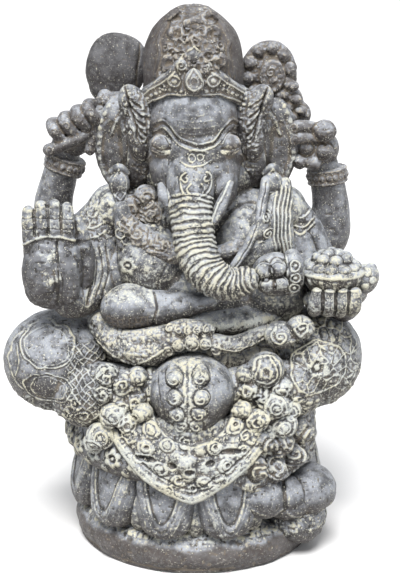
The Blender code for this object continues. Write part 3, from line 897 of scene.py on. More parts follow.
def make_torso():
    """Belly, its fold and chest in one skin."""
    shapes = [
        ball((5, -6, 272), (84, 59, 47)),
        ball((1, 8, 343), (92, 50, 45)),
        ball((-44, -30, 302), (37, 36, 42)),
        ball((52, -24, 318), (38, 38, 44)),
        ball((-84, -6, 348), (26, 26, 27)),
        ball((88, -6, 350), (26, 26, 26)),
        ball((3, 0, 385), (58, 38, 34)),
        ball((-78, -8, 284), (30, 32, 42)),
        ball((78, -22, 268), (36, 40, 40)),
        ball((24, -40, 247), (70, 36, 19), (0, -3, 0)),
        ball((-30, -46, 238), (50, 32, 16), (0, 3, 0)),
        ball((-18, -34, 252), (54, 38, 20), (0, 6, 0)),
        ball((0, 20, 300), (90, 44, 104)),
    ]
    torso = Stone("torso_carved", shapes, 1.45, soften=8, dust_and_sheen=0.42, earth_and_shade=0.3)
    torso.line([(-39, 249), (-9, 245), (11, 239), (37, 234), (64, 240), (84, 250)], 2.2, 1.6, 0.35)
    torso.line([(-30, 243), (8, 233), (37, 228), (68, 234)], 1.7, 1.0, 0.3)
    torso.flower((-68, 304), 11, 6, 0, 0.9, 0.3)
    torso.line([(-88, 322), (-84, 300), (-74, 280)], 2.4, -1.0, 0.1)
    torso.line([(-20, 250), (-34, 268), (-38, 288), (-30, 306)], 2.0, -0.7, 0.1)
    torso.dust_and_sheen += 0.06 * torso.above(296, 40) * torso.left_of(-20, 30)
    torso.dust_and_sheen += 0.14 * torso.below(262, 16)
    torso.crust(torso.facing * torso.above(330, 12) * torso.left_of(-20, 16), 1.1, 6.5)
    torso.finish("polished_stone", ["belly", "belly_fold", "chest"], wear=1.1)


def make_sash():
    """The roll of cloth over the lap: dusty above with a painted sheen, rough below with painted shade."""
    shapes = [
        ball((-68, -60, 263), (29, 25, 23), (0, -10, 0)),
        limb([(-58, -60, 261), (-34, -62, 262), (-8, -66, 266), (14, -68, 270)], (22, 18, 13, 7)),
        limb([(-92, -48, 244), (-66, -76, 228), (-42, -82, 232)], (9, 10, 8)),
    ]
    sash = Stone("sash_roll_carved", shapes, 0.95, soften=5, dust_and_sheen=0.26)
    flat = sash.front
    sash.line([(-43, 284), (-39, 266), (-43, 246)], 2.6, -1.5, 0.1)
    lower = sash.below(262, 6) * sash.left_of(-44, 4)
    sash.carve(lower * ease(1 - cells(flat, 6, 12) / 1.6), -0.8, -0.1)
    # More dust on the top, which also brings the painted sheen; the rough underside is made less pale and
    # browner as painted shade.
    sash.dust_and_sheen += 0.34 * sash.above(268, 8) * sash.left_of(-40, 4) - 0.2 * lower
    sash.earth_and_shade += 0.6 * lower
    sash.finish("polished_stone", ["sash_roll"], wear=1.1)


def make_belt():
    """The folded sash under the belly, with a buckle of bosses, and the hem beside it."""
    shapes = [
        limb([(-100, -40, 238), (-74, -72, 224), (-46, -84, 222), (-20, -86, 236)], (12, 14, 13, 9)),
        limb([(-98, -48, 244), (-68, -72, 231), (-38, -80, 236), (-10, -84, 242)], (9, 12, 12, 8)),
        limb([(10, -84, 236), (40, -80, 230), (74, -60, 240)], (8, 9, 8)),
        ball((-6, -84, 247), (26, 12, 10)),
    ]
    bosses = (
        (-17, -90, 233, 7.5), (-4, -93, 236, 8.5), (9, -90, 235, 7.5), (-28, -86, 226, 7),
        (20, -86, 228, 7)
    )
    shapes += [ball((x, y, z), (r, 9, r)) for x, y, z, r in bosses]
    belt = Stone("belt_carved", shapes, 0.9, 5, 0.5, 0.5)
    for x, _, z, r in bosses:
        belt.ring((x, z), 0.7 * r, 1.4, 1.0, 0.15)
    belt.line([(-100, 229), (-64, 212), (-34, 228)], 2.2, 1.2, 0.2)
    belt.line([(12, 234), (40, 226), (74, 236)], 1.6, 1.1, 0.2)
    for x in range(-26, 20, 9):
        belt.line(curl((x, 249), 4, 1.2, 90), 1.3, 1.0, 0.15)
    belt.crust(belt.facing, 0.9, 5)
    belt.finish("carved_stone", ["belt"], wear=1.0)


# Head.


def make_head():
    """Head and trunk in one skin."""
    trunk_line = [
        (-3, -30, 422), (-4, -46, 396), (-5, -62, 370), (-3, -74, 348), (-1, -80, 332), (5, -88, 315)
    ]
    trunk_line += [(17, -93, 302), (33, -94, 296), (48, -92, 299)]
    trunk_radii = (22, 26, 22.5, 20.5, 20.5, 20, 18.5, 17, 13.5)
    shapes = [
        ball((-2, -10, 445), (46.5, 52, 45)),
        ball((-1, -10, 410), (50, 48, 42)),
        ball((-1, -24, 397), (46, 40, 38)),
        ball((-3, -34, 384), (36, 32, 34)),
        ball((18, -38, 382), (24, 24, 28)),
        ball((0, -34, 420), (38, 29, 36)),
        limb(trunk_line, trunk_radii),
        ball((-34, -44, 424), (12, 11, 11)),
        ball((33, -44, 424), (12, 11, 11)),
    ]
    head = Stone("head_and_trunk_carved", shapes, 1.0, soften=12, dust_and_sheen=0.22, earth_and_shade=0.3)
    carve_face(head)
    carve_trunk(head, trunk_line)
    head.finish("polished_stone", ["head", "trunk"], wear=0.8)


def carve_face(head):
    """Brow, eyes, cheeks, and generic scrolls over the trunk's root."""
    flat, face = head.front, head.facing
    brow = [
        (-41, 444), (-33, 449), (-24, 443), (-16, 434), (-2, 429), (14, 429), (20, 434), (27, 443),
        (35, 449), (42, 445)
    ]
    head.line(brow, 1.5, 1.0, 0.12)
    head.line([(x, z - 3.4) for x, z in brow], 1.9, -1.1, -0.05)
    under = [
        (-41, 436), (-33, 442), (-25, 436), (-18, 428), (-8, 423), (4, 422), (18, 425), (27, 434),
        (35, 441)
    ]
    head.line(under, 1.4, 0.8, 0.25)
    for z, half in ((456, 12), (450, 18), (444, 20), (438, 14)):
        head.line([(-half, z + 1), (0, z - 1), (half, z + 1)], 1.2, 0.35, 0.2)
    for sign in (-1, 1):
        x = sign * 34
        lid = [(x - 9 * sign, 427), (x - 4 * sign, 434), (x + 4 * sign, 434), (x + 9 * sign, 426)]
        head.boss((x, 428), (10, 7), 1.4)
        head.line(lid, 1.3, 0.8, 0.2)
        head.line([(x - 9 * sign, 422), (x, 420.5), (x + 8 * sign, 423)], 1.4, -1.7, 0.1)
        head.line([(x - 8 * sign, 418), (x, 416), (x + 8 * sign, 419)], 1.4, 0.8, 0.4)
        head.boss((x - 5 * sign, 419), (5, 2.2), 0.4, 0.8)
        cheek = [
            (sign * 44, 412), (sign * 48.5, 404), (sign * 50, 393), (sign * 47, 380), (sign * 42, 368)
        ]
        head.carve(ease(-head.normals[:, 1] * 3 + 1) * stroke(flat, cheek, 1.6), 0.9, 0.35)
    head.line([(-6, 421), (1, 423.5), (7, 422), (12, 420)], 1.3, 0.8, 0.35)
    for x, z in ((-4, 414.5), (4, 415.5)):
        head.ring((x, z), 3.2, 1.1, 0.8, 0.25)
    head.line([(-13, 411), (-6, 407.5), (6, 407.5), (15, 412)], 1.3, 0.9, 0.35)
    for sign in (-1, 1):
        head.line(curl((sign * 10, 396), 5.4, 0.9, 80, -sign), 1.4, 1.2, 0.3)
        tail = [(sign * 10, 401), (sign * 15, 396), (sign * 14, 387), (sign * 9, 381), (sign * 4, 379)]
        head.line(tail, 1.5, 1.2, 0.3)
        inner = [(sign * 5, 392), (sign * 9, 387), (sign * 7, 383)]
        head.line(inner, 1.2, 1.0, 0.25)
    head.boss((-31, 366), (6, 5), -5.0, -0.4)
    head.line([(-40, 384), (-33, 385), (-26, 378), (-25, 368), (-28, 360)], 1.9, 1.5, 0.25)
    head.dust_and_sheen += 0.14 * ease(1 - np.abs(flat[:, 1] - 418) / 10) * face
    # Dust down the middle of the lower face, there mainly for a painted sheen.
    head.dust_and_sheen += 0.14 * face * ease(1.6 - np.abs(flat[:, 0] + 4) / 22) * head.below(432, 24)
    # Painted shade: the sides of the head above the cheeks are made browner.
    head.earth_and_shade += 0.6 * ease((np.abs(flat[:, 0] + 2) - 26) / 14) * head.above(386, 16)


def carve_trunk(head, line):
    """Ring folds down the trunk, each a lip over a dark groove."""
    path = through(line, 120)
    lengths = np.concatenate([[0], np.cumsum(np.linalg.norm(np.diff(path, axis=0), axis=1))])
    away = np.linalg.norm(head.points[:, None, :] - path[None, ::3, :], axis=2)
    nearest = away.argmin(1) * 3
    tangent = np.gradient(path, axis=0)
    tangent /= np.linalg.norm(tangent, axis=1, keepdims=True)
    offset = head.points - path[nearest]
    along = lengths[nearest] + (offset * tangent[nearest]).sum(1)
    zone = ease((along - 56) / 4) * ease((lengths[-1] + 16 - along) / 5) * ease((30 - away.min(1)) / 5)
    across = offset[:, 0] * tangent[nearest, 2] - offset[:, 2] * tangent[nearest, 0]
    bow = 0.022 * ease((along - 97) / 40) * across**2
    wobble = 2.0 * grain(head.points, 10, 3.3) + 0.5 * grain(head.points, 4, 7.7)
    phase = ((along - bow + wobble) / 5.6) % 1
    lip = ease(phase / 0.62) * ease((1 - phase) / 0.2)
    head.height += zone * (1.5 * lip - 0.6)
    # Dust over the trunk, less on the lips: it brightens the trunk through the painted sheen and eases the
    # painted shade in the grooves.
    head.dust_and_sheen += zone * (0.2 - 0.14 * ease((lip - 0.4) / 0.6) * head.patchy)


def make_tusks():
    """A broken stub at the figure's right, a whole tusk at its left."""
    stub = Stone(
        "right_tusk_carved", [limb([(-34, -50, 384), (-31, -59, 376), (-28, -63, 368)], (4, 6.5, 5))],
        0.7, 3, 0.22
    )
    stub.carve(ease(-stub.normals[:, 2] * 2 - 0.5), -2.5, -0.3)
    stub.finish("polished_stone", ["right_tusk"], wear=0.8)
    route = [(34, -53, 387), (29, -63, 377), (23, -71, 365), (18, -76, 354)]
    tusk = Stone("left_tusk_carved", [limb(route, (3.5, 5.5, 6, 4))], 0.7, 3, 0.36)
    tusk.line([(36, 394), (26, 378), (18, 362), (15, 352)], 1.8, 1.2, 0.35)
    tusk.finish("polished_stone", ["left_tusk"], wear=0.9)


def make_ear(side, sign):
    """A broad ear, hollowed towards its rim, with the carved wing of the head-dress over it."""
    shapes = [
        ball((sign * 74, 0, 412), (31, 12, 50), (4, sign * 6, sign * 14)),
        ball((sign * 58, -8, 424), (20, 16, 50)),
        ball((sign * 62, -18, 460), (14, 15, 21), (0, sign * 24, 0)),
        ball((sign * 49, -14, 446), (12, 16, 30)),
        ball((sign * 56, -22, 438), (14, 14, 34)),
        ball((sign * 56, -21, 452), (10, 13, 22), (0, -sign * 16, 0)),
        ball((sign * 80, 2, 444), (15, 12, 20)),
    ]
    ear = Stone(side + "_ear_carved", shapes, 0.95, soften=6, dust_and_sheen=0.3, earth_and_shade=0.5)
    ear.front = ear.front * np.array([sign, 1])
    rim = [(88, 456), (96, 436), (99, 412), (95, 392), (84, 374)]
    ear.line(rim, 4, 1.4, 0.15)
    ear.beads(rim, 2.6, 7, 0.7, 0.1)
    ear.boss((83, 410), (14, 32), -3.4, -0.06)
    ear.line([(68, 436), (70, 414), (76, 392)], 3, -1.8)
    ear.line([(73, 452), (80, 440), (86, 428)], 3, 1.8, 0.1)
    wing = ear.above(420, 10) * ear.right_of(40, 6) * ear.left_of(76, 6) * ear.facing
    for number in range(6):
        low = (46 + 1.6 * number, 412 + 9.5 * number)
        high = (60 + 2.4 * number, 446 + 7.5 * number)
        middle_way = ((low[0] + high[0]) / 2 + 4, (low[1] + high[1]) / 2 - 2)
        ear.line([low, middle_way, high], 1.8, -2.6, -0.3, zone=wing)
    ear.line([(52, 474), (49, 452), (48, 430), (50, 404)], 2.0, -1.2, -0.1)
    strip = ear.facing * ear.left_of(66, 8) * ear.below(430, 8)
    ear.crust(strip + wing, 1.3, 4.5)
    ear.dust_and_sheen -= 0.14 * wing + 0.1 * strip + 0.16 * ear.facing * ear.below(400, 16)
    ear.finish("polished_stone", [side + "_ear"], wear=1.2)


def make_earring(side, sign):
    """A leaf-shaped drop with a tassel under it."""
    shapes = [
        ball((sign * 77, -20, 380), (11, 9, 13)),
        ball((sign * 76, -22, 366), (8, 8, 11)),
        limb([(sign * 85, -17, 392), (sign * 77, -19, 396), (sign * 70, -17, 390)], (4, 5, 4)),
        limb([(sign * 75, -30, 356), (sign * 72, -36, 336), (sign * 72, -40, 322)], (9, 10, 8)),
    ]
    drop = Stone(side + "_earring_carved", shapes, 0.8, soften=3, dust_and_sheen=0.34)
    drop.front = drop.front * np.array([sign, 1])
    leaf = [(77, 395), (70, 384), (72, 370), (77, 366), (83, 372), (84, 384), (77, 395)]
    drop.line(leaf, 1.8, 0.9, -0.1)
    drop.boss((76, 368), (5, 5), -1.6, -0.3)
    for x, z in ((72, 344), (76, 334), (70, 328)):
        drop.ring((x, z), 4.5, 1.5, 1.2, 0.2)
    drop.finish("carved_stone", [side + "_earring"], wear=1.0)


def make_crown():
    """A tall rounded cap, smooth at its sides, with a worn carved band up its front."""
    centre = (middle("crown")[0], middle("crown")[1])
    profile = [
        (0, 556), (9, 555.4), (20, 551), (33, 541), (43, 529), (48.5, 514), (50.5, 498), (50.5, 480)
    ]
    profile += [(49, 462), (30, 446), (0, 444)]
    shapes = [turned(smooth_profile(profile, 60), centre)]
    band = [(-2, -37, 480), (-2, -38, 505), (-2, -28, 530), (-2, -8, 548), (-2, 8, 551)]
    shapes.append(limb(band, (24, 24, 20, 15, 5), flat=(1.0, 0.55)))
    bosses = [(-2, -31, 541, 9, 6), (-20, -25, 531, 9, 7), (16, -25, 531, 9, 7), (-21, -12, 546, 8, 7)]
    bosses += [(14, -12, 546, 8, 7), (-27, -36, 503, 7, 7), (24, -36, 505, 7, 7)]
    shapes += [ball((x, y, z), (r, r, h)) for x, y, z, r, h in bosses]
    crown = Stone("crown_carved", shapes, 1.0, 4, 0.0, 0.8)
    crown.facing = ease(-crown.normals[:, 1] * 2.2 + 0.5)
    flat = crown.front
    band_half = np.interp(flat[:, 1], [470, 500, 520, 545, 556], [42, 34, 31, 24, 12])
    inside = ease((band_half - np.abs(flat[:, 0] + 2)) / 6) * ease(0.6 - crown.normals[:, 1] * 2)
    edge = [(-40, 488), (-35, 512), (-37, 524), (-28, 541), (-15, 553)]
    for sign in (-1, 1):
        crown.line([(sign * (x + 2) - 2, z) for x, z in edge], 2.4, 1.5, 0.06)
    for x, y, z, r, h in bosses:
        crown.ring((x, z), r * 0.9, 1.6, 1.0, 0.12, squash=h / r, zone=inside)
        crown.boss((x, z), (r * 0.6, h * 0.55), -2.2, -0.2, zone=inside)
    motifs = [
        (-14, 512, 9), (0, 525, 8), (12, 512, 9), (-30, 518, 7), (24, 520, 7), (-2, 506, 7),
        (-22, 490, 8)
    ]
    motifs += [(18, 490, 8), (-11, 526, 6), (8, 499, 6), (-31, 488, 7), (28, 488, 7)]
    for number, (x, z, size) in enumerate(motifs):
        crown.flower((x, z), size, 5, number, 2.0, 0.1, zone=inside)
    curls = ((-22, 512), (18, 512), (-8, 534), (6, 534), (-12, 500), (10, 494), (-34, 496))
    for number, (x, z) in enumerate(curls):
        crown.line(curl((x, z), 6, 1.3, 50 * number, (-1) ** number), 1.6, 1.5, 0.12, zone=inside)
    crown.crust(inside, 1.7, 5.5)
    crown.dust_and_sheen += 0.1 * inside
    around = crown.around(centre, 50)
    behind = 1 - inside
    crown.carve(behind * ease(1 - np.abs(crown.points[:, 2] - 470) / 3), 1.4, 0.15)
    back = ease(crown.normals[:, 1] * 2) * ease((crown.points[:, 2] - 474) / 5)
    crown.carve(back * ease(np.cos(around[:, 0] / 50 * 9) * 2 - 0.9), 1.2, 0.1)
    crown.finish("polished_stone", ["crown"], wear=1.1)


def make_diadem():
    """The front plate of the crown: rows of beads below a pointed frame with a drop-shaped jewel."""
    centre = (-3, 6)
    radius_at = lambda z: np.interp(z, [456, 466, 490, 522], [55, 58, 59, 50])
    upper = [
        (-54, 474), (-40, 486), (-24, 500), (-14, 514), (-2, 521), (10, 514), (20, 500), (36, 486),
        (50, 474)
    ]
    lower = [
        (-54, 456), (-42, 465), (-26, 473), (-10, 474), (-2, 473), (8, 474), (22, 473), (37, 465),
        (50, 455)
    ]
    shapes = [hanging_cloth(upper, lower, radius_at, 16, centre)]
    shapes += [
        ball((-2, -54, 488), (9, 6, 12)), ball((-21, -49, 488), (7, 6, 8)),
        ball((17, -49, 488), (7, 6, 8))
    ]
    shapes += [
        ball((-2, -48, 512), (7, 6, 9)), ball((-14, -48, 502), (6, 5, 7)),
        ball((10, -48, 502), (6, 5, 7))
    ]
    plate = Stone("diadem_carved", shapes, 0.85, 3, 0.34, 0.55)
    drop = [(-2, 500), (-8, 490), (-8, 484), (-2, 479), (5, 484), (5, 490), (-2, 500)]
    plate.line(drop, 1.7, 1.5, 0.3)
    plate.boss((-1.5, 487), (3.5, 5), -1.2, -0.5)
    for sign in (-1, 1):
        at = lambda x, z: (sign * x - 2, z)
        plate.beads([at(12, 478), at(28, 478), at(42, 471), at(50, 464)], 2.0, 4.6, 1.2, 0.1)
        plate.line([at(8, 474), at(24, 474), at(40, 467), at(50, 460)], 1.5, 1.1, 0.3)
        plate.line([at(18, 496), at(30, 486), at(42, 478), at(50, 470)], 1.7, 1.4, 0.3)
        plate.ring(at(19, 488), 5.2, 1.6, 1.2, 0.1)
        plate.boss(at(19, 488), (2.6, 2.6), 1.2, -0.2)
        plate.line(curl(at(12, 503), 5, 1.3, 0, sign), 1.4, 1.5, 0.2)
        plate.line([at(0, 520), at(10, 513), at(15, 502), at(13, 494)], 1.6, 1.3, 0.2)
        plate.flower(at(31, 481), 4.6, 5, 0, 1.4)
    plate.finish("carved_stone", ["diadem"], wear=1.0)


# Front arms, hands and the bowl.


def make_right_front_arm():
    """The arm behind the raised palm, with an armlet."""
    shapes = [
        limb([(-86, 0, 352), (-100, -10, 330), (-102, -22, 300), (-102, -34, 274)], (24, 24, 23, 22)),
        limb([(-104, -34, 276), (-124, -52, 268), (-132, -60, 282)], (22, 20, 16)),
        ball((-84, -14, 284), (24, 30, 36)),
    ]
    arm = Stone("right_front_arm_carved", shapes, 1.0, soften=6, dust_and_sheen=0.36, earth_and_shade=0.45)
    for offset in (0, 9):
        arm.line([(-124, 342 - offset), (-106, 336 - offset), (-90, 344 - offset)], 1.6, 1.0, 0.25)
    for x, z in ((-118, 354), (-112, 340), (-104, 352)):
        arm.ring((x, z), 5, 1.7, 1.0, 0.2)
    for number in range(4):
        x = -96 + 4 * number
        arm.line([(x, 372), (x + 2, 356), (x + 3, 340)], 1.3, 0.9, 0.25)
    for number in range(3):
        x = -104 + 6 * number
        arm.line([(x, 318), (x + 4, 296), (x - 2, 272)], 1.6, -1.3, 0.15)
    arm.line([(-111, 326), (-104, 300), (-108, 266)], 2.6, -2.4, -0.3)
    arm.crust(arm.facing * arm.above(318, 12), 1.0)
    arm.finish("polished_stone", ["right_front_arm"], wear=1.1)


def make_raised_palm():
    """The open hand: finger grooves, palm lines and worn patches."""
    shapes = [ball((-143, -66, 302), (30, 14, 40), (0, 3, 0), square=2.4)]
    for x, top in ((-164, 362), (-151.5, 368), (-138.5, 369), (-126, 366)):
        shapes.append(limb([(x, -66, 318), (x, -69, 344), (x, -68, top)], (7.6, 7.6, 6.2)))
    thumb = [(-114, -54, 280), (-108, -58, 306), (-112, -60, 334), (-116, -60, 352)]
    shapes.append(limb(thumb, (7, 8, 7, 5)))
    shapes += [ball((-128, -75, 298), (13, 10, 29), (0, -6, 0)), ball((-151, -73, 300), (17, 11, 30))]
    hand = Stone("right_front_hand_carved", shapes, 0.85, soften=4, dust_and_sheen=0.2)
    arc = [(-170, 330), (-158, 336), (-144, 339), (-131, 338), (-119, 334)]
    hand.line(arc, 2.4, 1.2, 0.5)
    for x in (-158, -145, -132):
        hand.line([(x, 372), (x, 356), (x + 0.5, 340)], 1.9, -1.6, 0.25)
    for z in (356, 346):
        hand.line([(-172, z), (-145, z + 1), (-120, z - 1)], 1.1, -0.5)
    hand.line([(-137, 334), (-135, 316), (-131, 296), (-133, 276)], 1.6, -0.8, 0.2)
    hand.boss((-144, 319), (8, 9), -0.5, 0.9)
    hand.boss((-144, 299), (8, 10), -0.5, 0.9)
    hand.line([(-137, 334), (-136, 300), (-138, 268)], 2.6, -1.6, 0.1)
    hand.boss((-156, 310), (5, 4), 0.4, 0.4)
    hand.boss((-135, 300), (4, 8), 0.2, 0.35)
    back = ease(hand.normals[:, 1] * 2)
    for x in (-158, -145, -132):
        hand.line([(x, 372), (x, 345), (x, 325)], 2.2, -1.6, zone=back)
    hand.dust_and_sheen += 0.14 * hand.above(336, 6) - 0.12 * hand.below(330, 8)
    hand.carve(hand.facing * np.clip(grain(hand.points, 4.5, 1.7) - 0.1, 0, 1), 0.9, 0.28)
    hand.finish("polished_stone", ["right_front_hand"], wear=1.5)


def make_left_front_arm():
    """The arm that holds the bowl, with an armlet."""
    shapes = [
        limb([(88, 0, 350), (108, -4, 326), (124, -10, 296), (136, -16, 268)], (24, 23, 21, 21)),
        limb([(138, -16, 262), (150, -30, 256), (152, -48, 266)], (21, 18, 16)),
        limb([(104, -24, 320), (112, -34, 300), (124, -42, 290)], (15, 14, 12)),
    ]
    arm = Stone("left_front_arm_carved", shapes, 1.0, soften=6, dust_and_sheen=0.24)
    for offset in (0, 10, 15):
        arm.line([(94, 352 - offset), (106, 346 - offset), (120, 354 - offset)], 2.0, 1.6, 0.3)
    for x in (98, 106, 114):
        arm.boss((x, 346), (4.5, 4.5), 1.8, -0.1)
    arm.finish("polished_stone", ["left_front_arm"], wear=1.0)


def make_left_front_hand():
    """Fingers curled up round the bowl."""
    shapes = [
        ball((136, -56, 268), (28, 24, 15)), ball((168, -54, 290), (15, 17, 15)),
        ball((158, -54, 276), (14, 17, 14))
    ]
    for number, x in enumerate((118, 131, 144, 156)):
        shapes.append(limb([(x, -70, 262), (x, -82, 270), (x + 1, -84, 284)], (7, 7.6, 6)))
    shapes.append(limb([(164, -60, 282), (176, -56, 292), (176, -50, 300)], (8, 8, 6)))
    hand = Stone("left_front_hand_carved", shapes, 0.85, soften=4, dust_and_sheen=0.46)
    for x in (124.5, 137.5, 150):
        hand.line([(x, 288), (x, 272), (x, 258)], 2.0, -2.4, -0.15)
    hand.line([(112, 288), (135, 286), (158, 288)], 2.0, 1.2, 0.35)
    for x, z in ((170, 300), (176, 292), (168, 286)):
        hand.boss((x, z), (4, 4), 1.6, 0.2)
    hand.finish("polished_stone", ["left_front_hand"], wear=1.4)


def make_bowl():
    """A small round bowl with a fluted side."""
    profile = [(0, 304), (24, 304), (31, 303), (32, 299), (30, 293), (24, 285), (18, 280), (0, 279)]
    bowl = Stone("sweets_bowl_carved", [turned(smooth_profile(profile, 40), (136, -60))], 0.85, 3, 0.42)
    around = bowl.around((136, -60), 30)
    bowl.carve(ease(1 - np.abs(bowl.points[:, 2] - 300) / 3), 0.9, 0.3)
    side = ease((298 - bowl.points[:, 2]) / 3)
    bowl.carve(side * ease(np.cos(around[:, 0] / 30 * 14) * 2 - 0.6), 1.2, 0.1)
    bowl.finish("polished_stone", ["sweets_bowl"], wear=1.2)


def make_sweets():
    """Round sweets heaped in the bowl."""
    shapes = [turned([(0, 316), (14, 313), (25, 306), (27, 300), (0, 300)], (136, -60))]
    for level, count, radius, height, size in (
        (0, 11, 22, 305, 7.2), (1, 7, 14, 313, 7.2), (2, 3, 5.5, 318, 6.6)
    ):
        for number in range(count):
            angle = TAU * (number + 0.4 * level) / count
            centre = (136 + radius * math.cos(angle), -60 + radius * math.sin(angle), height)
            shapes.append(ball(centre, (size, size, size * 0.85)))
    sweets = Stone("sweets_carved", shapes, 0.75, 2, 0.46)
    sweets.finish("carved_stone", ["sweets"], wear=0.8)


def make_wrist():
    """The carved lump the trunk's tip rests on: round bosses with a bracelet beside them."""
    shapes = [ball((78, -68, 299), (23, 20, 22)), ball((95, -66, 300), (13, 21, 24))]
    bosses = (
        (67, -84, 306, 9), (80, -88, 310, 9), (70, -86, 293, 8), (83, -88, 295, 8), (92, -86, 306, 5)
    )
    shapes += [ball((x, y, z), (r, r * 0.9, r)) for x, y, z, r in bosses]
    wrist = Stone("left_front_wrist_carved", shapes, 0.8, 3, 0.36)
    for x, _, z, r in bosses[:4]:
        wrist.ring((x, z), r * 0.95, 1.8, -1.4)
    for z, r in ((311, 4.5), (300, 4.5), (289, 4.5)):
        wrist.ring((97, z), r, 1.4, 1.5, 0.3)
        wrist.boss((97, z), (2, 2), 1.4, 0.2)
    for x in (89, 104):
        wrist.line([(x, 322), (x + 1, 300), (x, 278)], 1.8, 1.2, 0.3)
    for z in (283, 280, 277):
        wrist.line([(70, z), (86, z - 1), (104, z + 1)], 1.1, 0.8, 0.1)
    wrist.finish("carved_stone", ["left_front_wrist"], wear=1.1)


# Rear arms, hands and what they hold.


def make_rear_arm(side, upper, fore, upper_radii, fore_radii):
    """A plain arm of two smooth bars."""
    arm = Stone(
        side + "_rear_arm_carved", [limb(upper, upper_radii), limb(fore, fore_radii)], 1.0, 6, 0.28,
        0.45
    )
    arm.finish("polished_stone", [side + "_rear_arm"], wear=0.9)


def make_rear_arms():
    """Both raised arms behind the shoulders."""
    upper = [(-92, 20, 342), (-116, 26, 318), (-138, 30, 312)]
    fore = [(-134, 30, 314), (-149, 28, 322), (-149, 26, 350), (-140, 24, 385), (-134, 22, 412)]
    make_rear_arm("right", upper, fore, (22, 23, 22), (20, 21, 20, 17.5, 15.5))
    upper = [(92, 20, 342), (112, 28, 318), (130, 30, 308)]
    fore = [(122, 30, 310), (138, 28, 312), (141, 26, 342), (136, 24, 374), (128, 21, 400)]
    make_rear_arm("left", upper, fore, (22, 23, 22), (20, 22, 20, 17.5, 15.5))


def make_bracelet(side, centre, lean):
    """A cuff with a row of bosses between two rims."""
    shape = turned([(0, 8.5), (19, 8.5), (20.5, 5), (20, 0), (20.5, -5), (19, -8.5), (0, -8.5)])
    spin = np.array(Euler((0, math.radians(lean), 0)).to_matrix())
    cuff = Stone(
        side + "_rear_bracelet_carved", [(shape[0] @ spin.T + np.array(centre), shape[1])], 0.75, 3,
        0.2, 0.9
    )
    local = (cuff.points - np.array(centre)) @ spin
    round_it = np.arctan2(local[:, 1], local[:, 0]) / TAU * 18
    away = np.hypot((round_it % 1 - 0.5) * 7.0, local[:, 2])
    wall = ease((np.hypot(local[:, 0], local[:, 1]) - 16) / 3)
    cuff.carve(wall * np.sqrt(np.clip(1 - (away / 3.5) ** 2, 0, 1)), 2.0)
    for height in (-6.5, 6.5):
        cuff.carve(wall * ease(1 - np.abs(local[:, 2] - height) / 1.5), 1.0, 0.25)
    cuff.crust(wall, 0.5, 4)
    cuff.finish("carved_stone", [side + "_rear_bracelet"], wear=0.9)


def make_right_rear_hand():
    """A fist seen from its knuckles, closed on the axe's shaft."""
    shapes = [
        ball((-124, 16, 420), (24, 14, 18), (0, -20, 0)),
        ball((-108, 12, 434), (14, 12, 20)),
        limb([(-150, 6, 410), (-138, 0, 415), (-122, 0, 422), (-108, 4, 428)], (6.5, 7, 6.5, 6)),
    ]
    knuckles = []
    for number in range(4):
        x, z = -143 + 12.2 * number, 430 + 6.4 * number
        knuckles.append((x, z))
        finger = [(x + 8, 0, z - 9), (x, -3, z), (x - 3, 6, z + 7), (x + 4, 16, z + 6)]
        shapes.append(limb(finger, (5.5, 6.6, 6.2, 6)))
    hand = Stone("right_rear_hand_carved", shapes, 0.75, 4, 0.16, 0.95)
    for x, z in knuckles:
        hand.line(curl((x + 1, z), 3.8, 0.9, 120, -1), 1.1, 0.8, 0.2)
    hand.ring((-148, 410), 3.4, 1.1, 0.7, 0.2)
    hand.crust(hand.facing, 0.4, 4)
    hand.finish("polished_stone", ["right_rear_hand"], wear=1.1)


def make_left_rear_hand():
    """A chunky fist round the rosary: fingers lying across, round knuckles behind them."""
    shapes = [
        ball((122, 16, 410), (25, 15, 22)), ball((130, 2, 430), (13, 10, 12)),
        ball((131, 0, 409), (9, 8, 8.5))
    ]
    shapes += [
        ball((112, 6, 412), (9, 9, 8)), ball((106, 6, 398), (8, 9, 8)), ball((120, 4, 396), (8, 8, 7))
    ]
    for number in range(2):
        drop = 12 * number
        route = [(97 + 2 * number, 0, 434 - drop), (108, -2, 436 - drop), (122, 2, 434 - drop)]
        shapes.append(limb(route, (6.2, 6.4, 5.5)))
    hand = Stone("left_rear_hand_carved", shapes, 0.75, 4, 0.2, 1.0)
    for number in range(2):
        hand.ring((98 + 2 * number, 434 - 12 * number), 4, 1.2, 0.9, 0.2)
    for x, z, r in ((130, 430, 12), (131, 409, 8.5), (112, 412, 8)):
        hand.ring((x, z), r, 2.0, -1.2)
    hand.crust(hand.facing, 0.5, 4.5)
    hand.finish("polished_stone", ["left_rear_hand"], wear=1.3)


def make_axe():
    """A smooth leaf-shaped blade with a straight inner edge, on a short shaft."""
    shapes = [
        ball((-81, 27, 492), (31, 11, 34), (0, 14, 0), square=2.4), ball((-86, 27, 474), (24, 10, 22))
    ]
    blade = Stone("axe_blade_carved", shapes, 0.95, 8, 0.03, 0.5)
    blade.line([(-57, 524), (-57, 505), (-60, 490), (-60, 470)], 2.2, -1.2, 0.1)
    blade.dust_and_sheen += 0.2 * blade.below(470, 10)
    blade.finish("polished_stone", ["axe_blade"], wear=0.6)
    route = [(-92, 20, 462), (-97, 14, 448), (-102, 8, 434), (-108, 6, 410)]
    shapes = [
        limb(route, (9, 8.5, 7.5, 6)), ball((-84, 18, 458), (20, 14, 10)),
        ball((-70, 14, 450), (14, 14, 12))
    ]
    shaft = Stone("axe_shaft_carved", shapes, 0.8, 3, 0.26, 1.0)
    shaft.crust(shaft.facing, 0.7, 5)
    shaft.finish("polished_stone", ["axe_shaft"], wear=1.3)


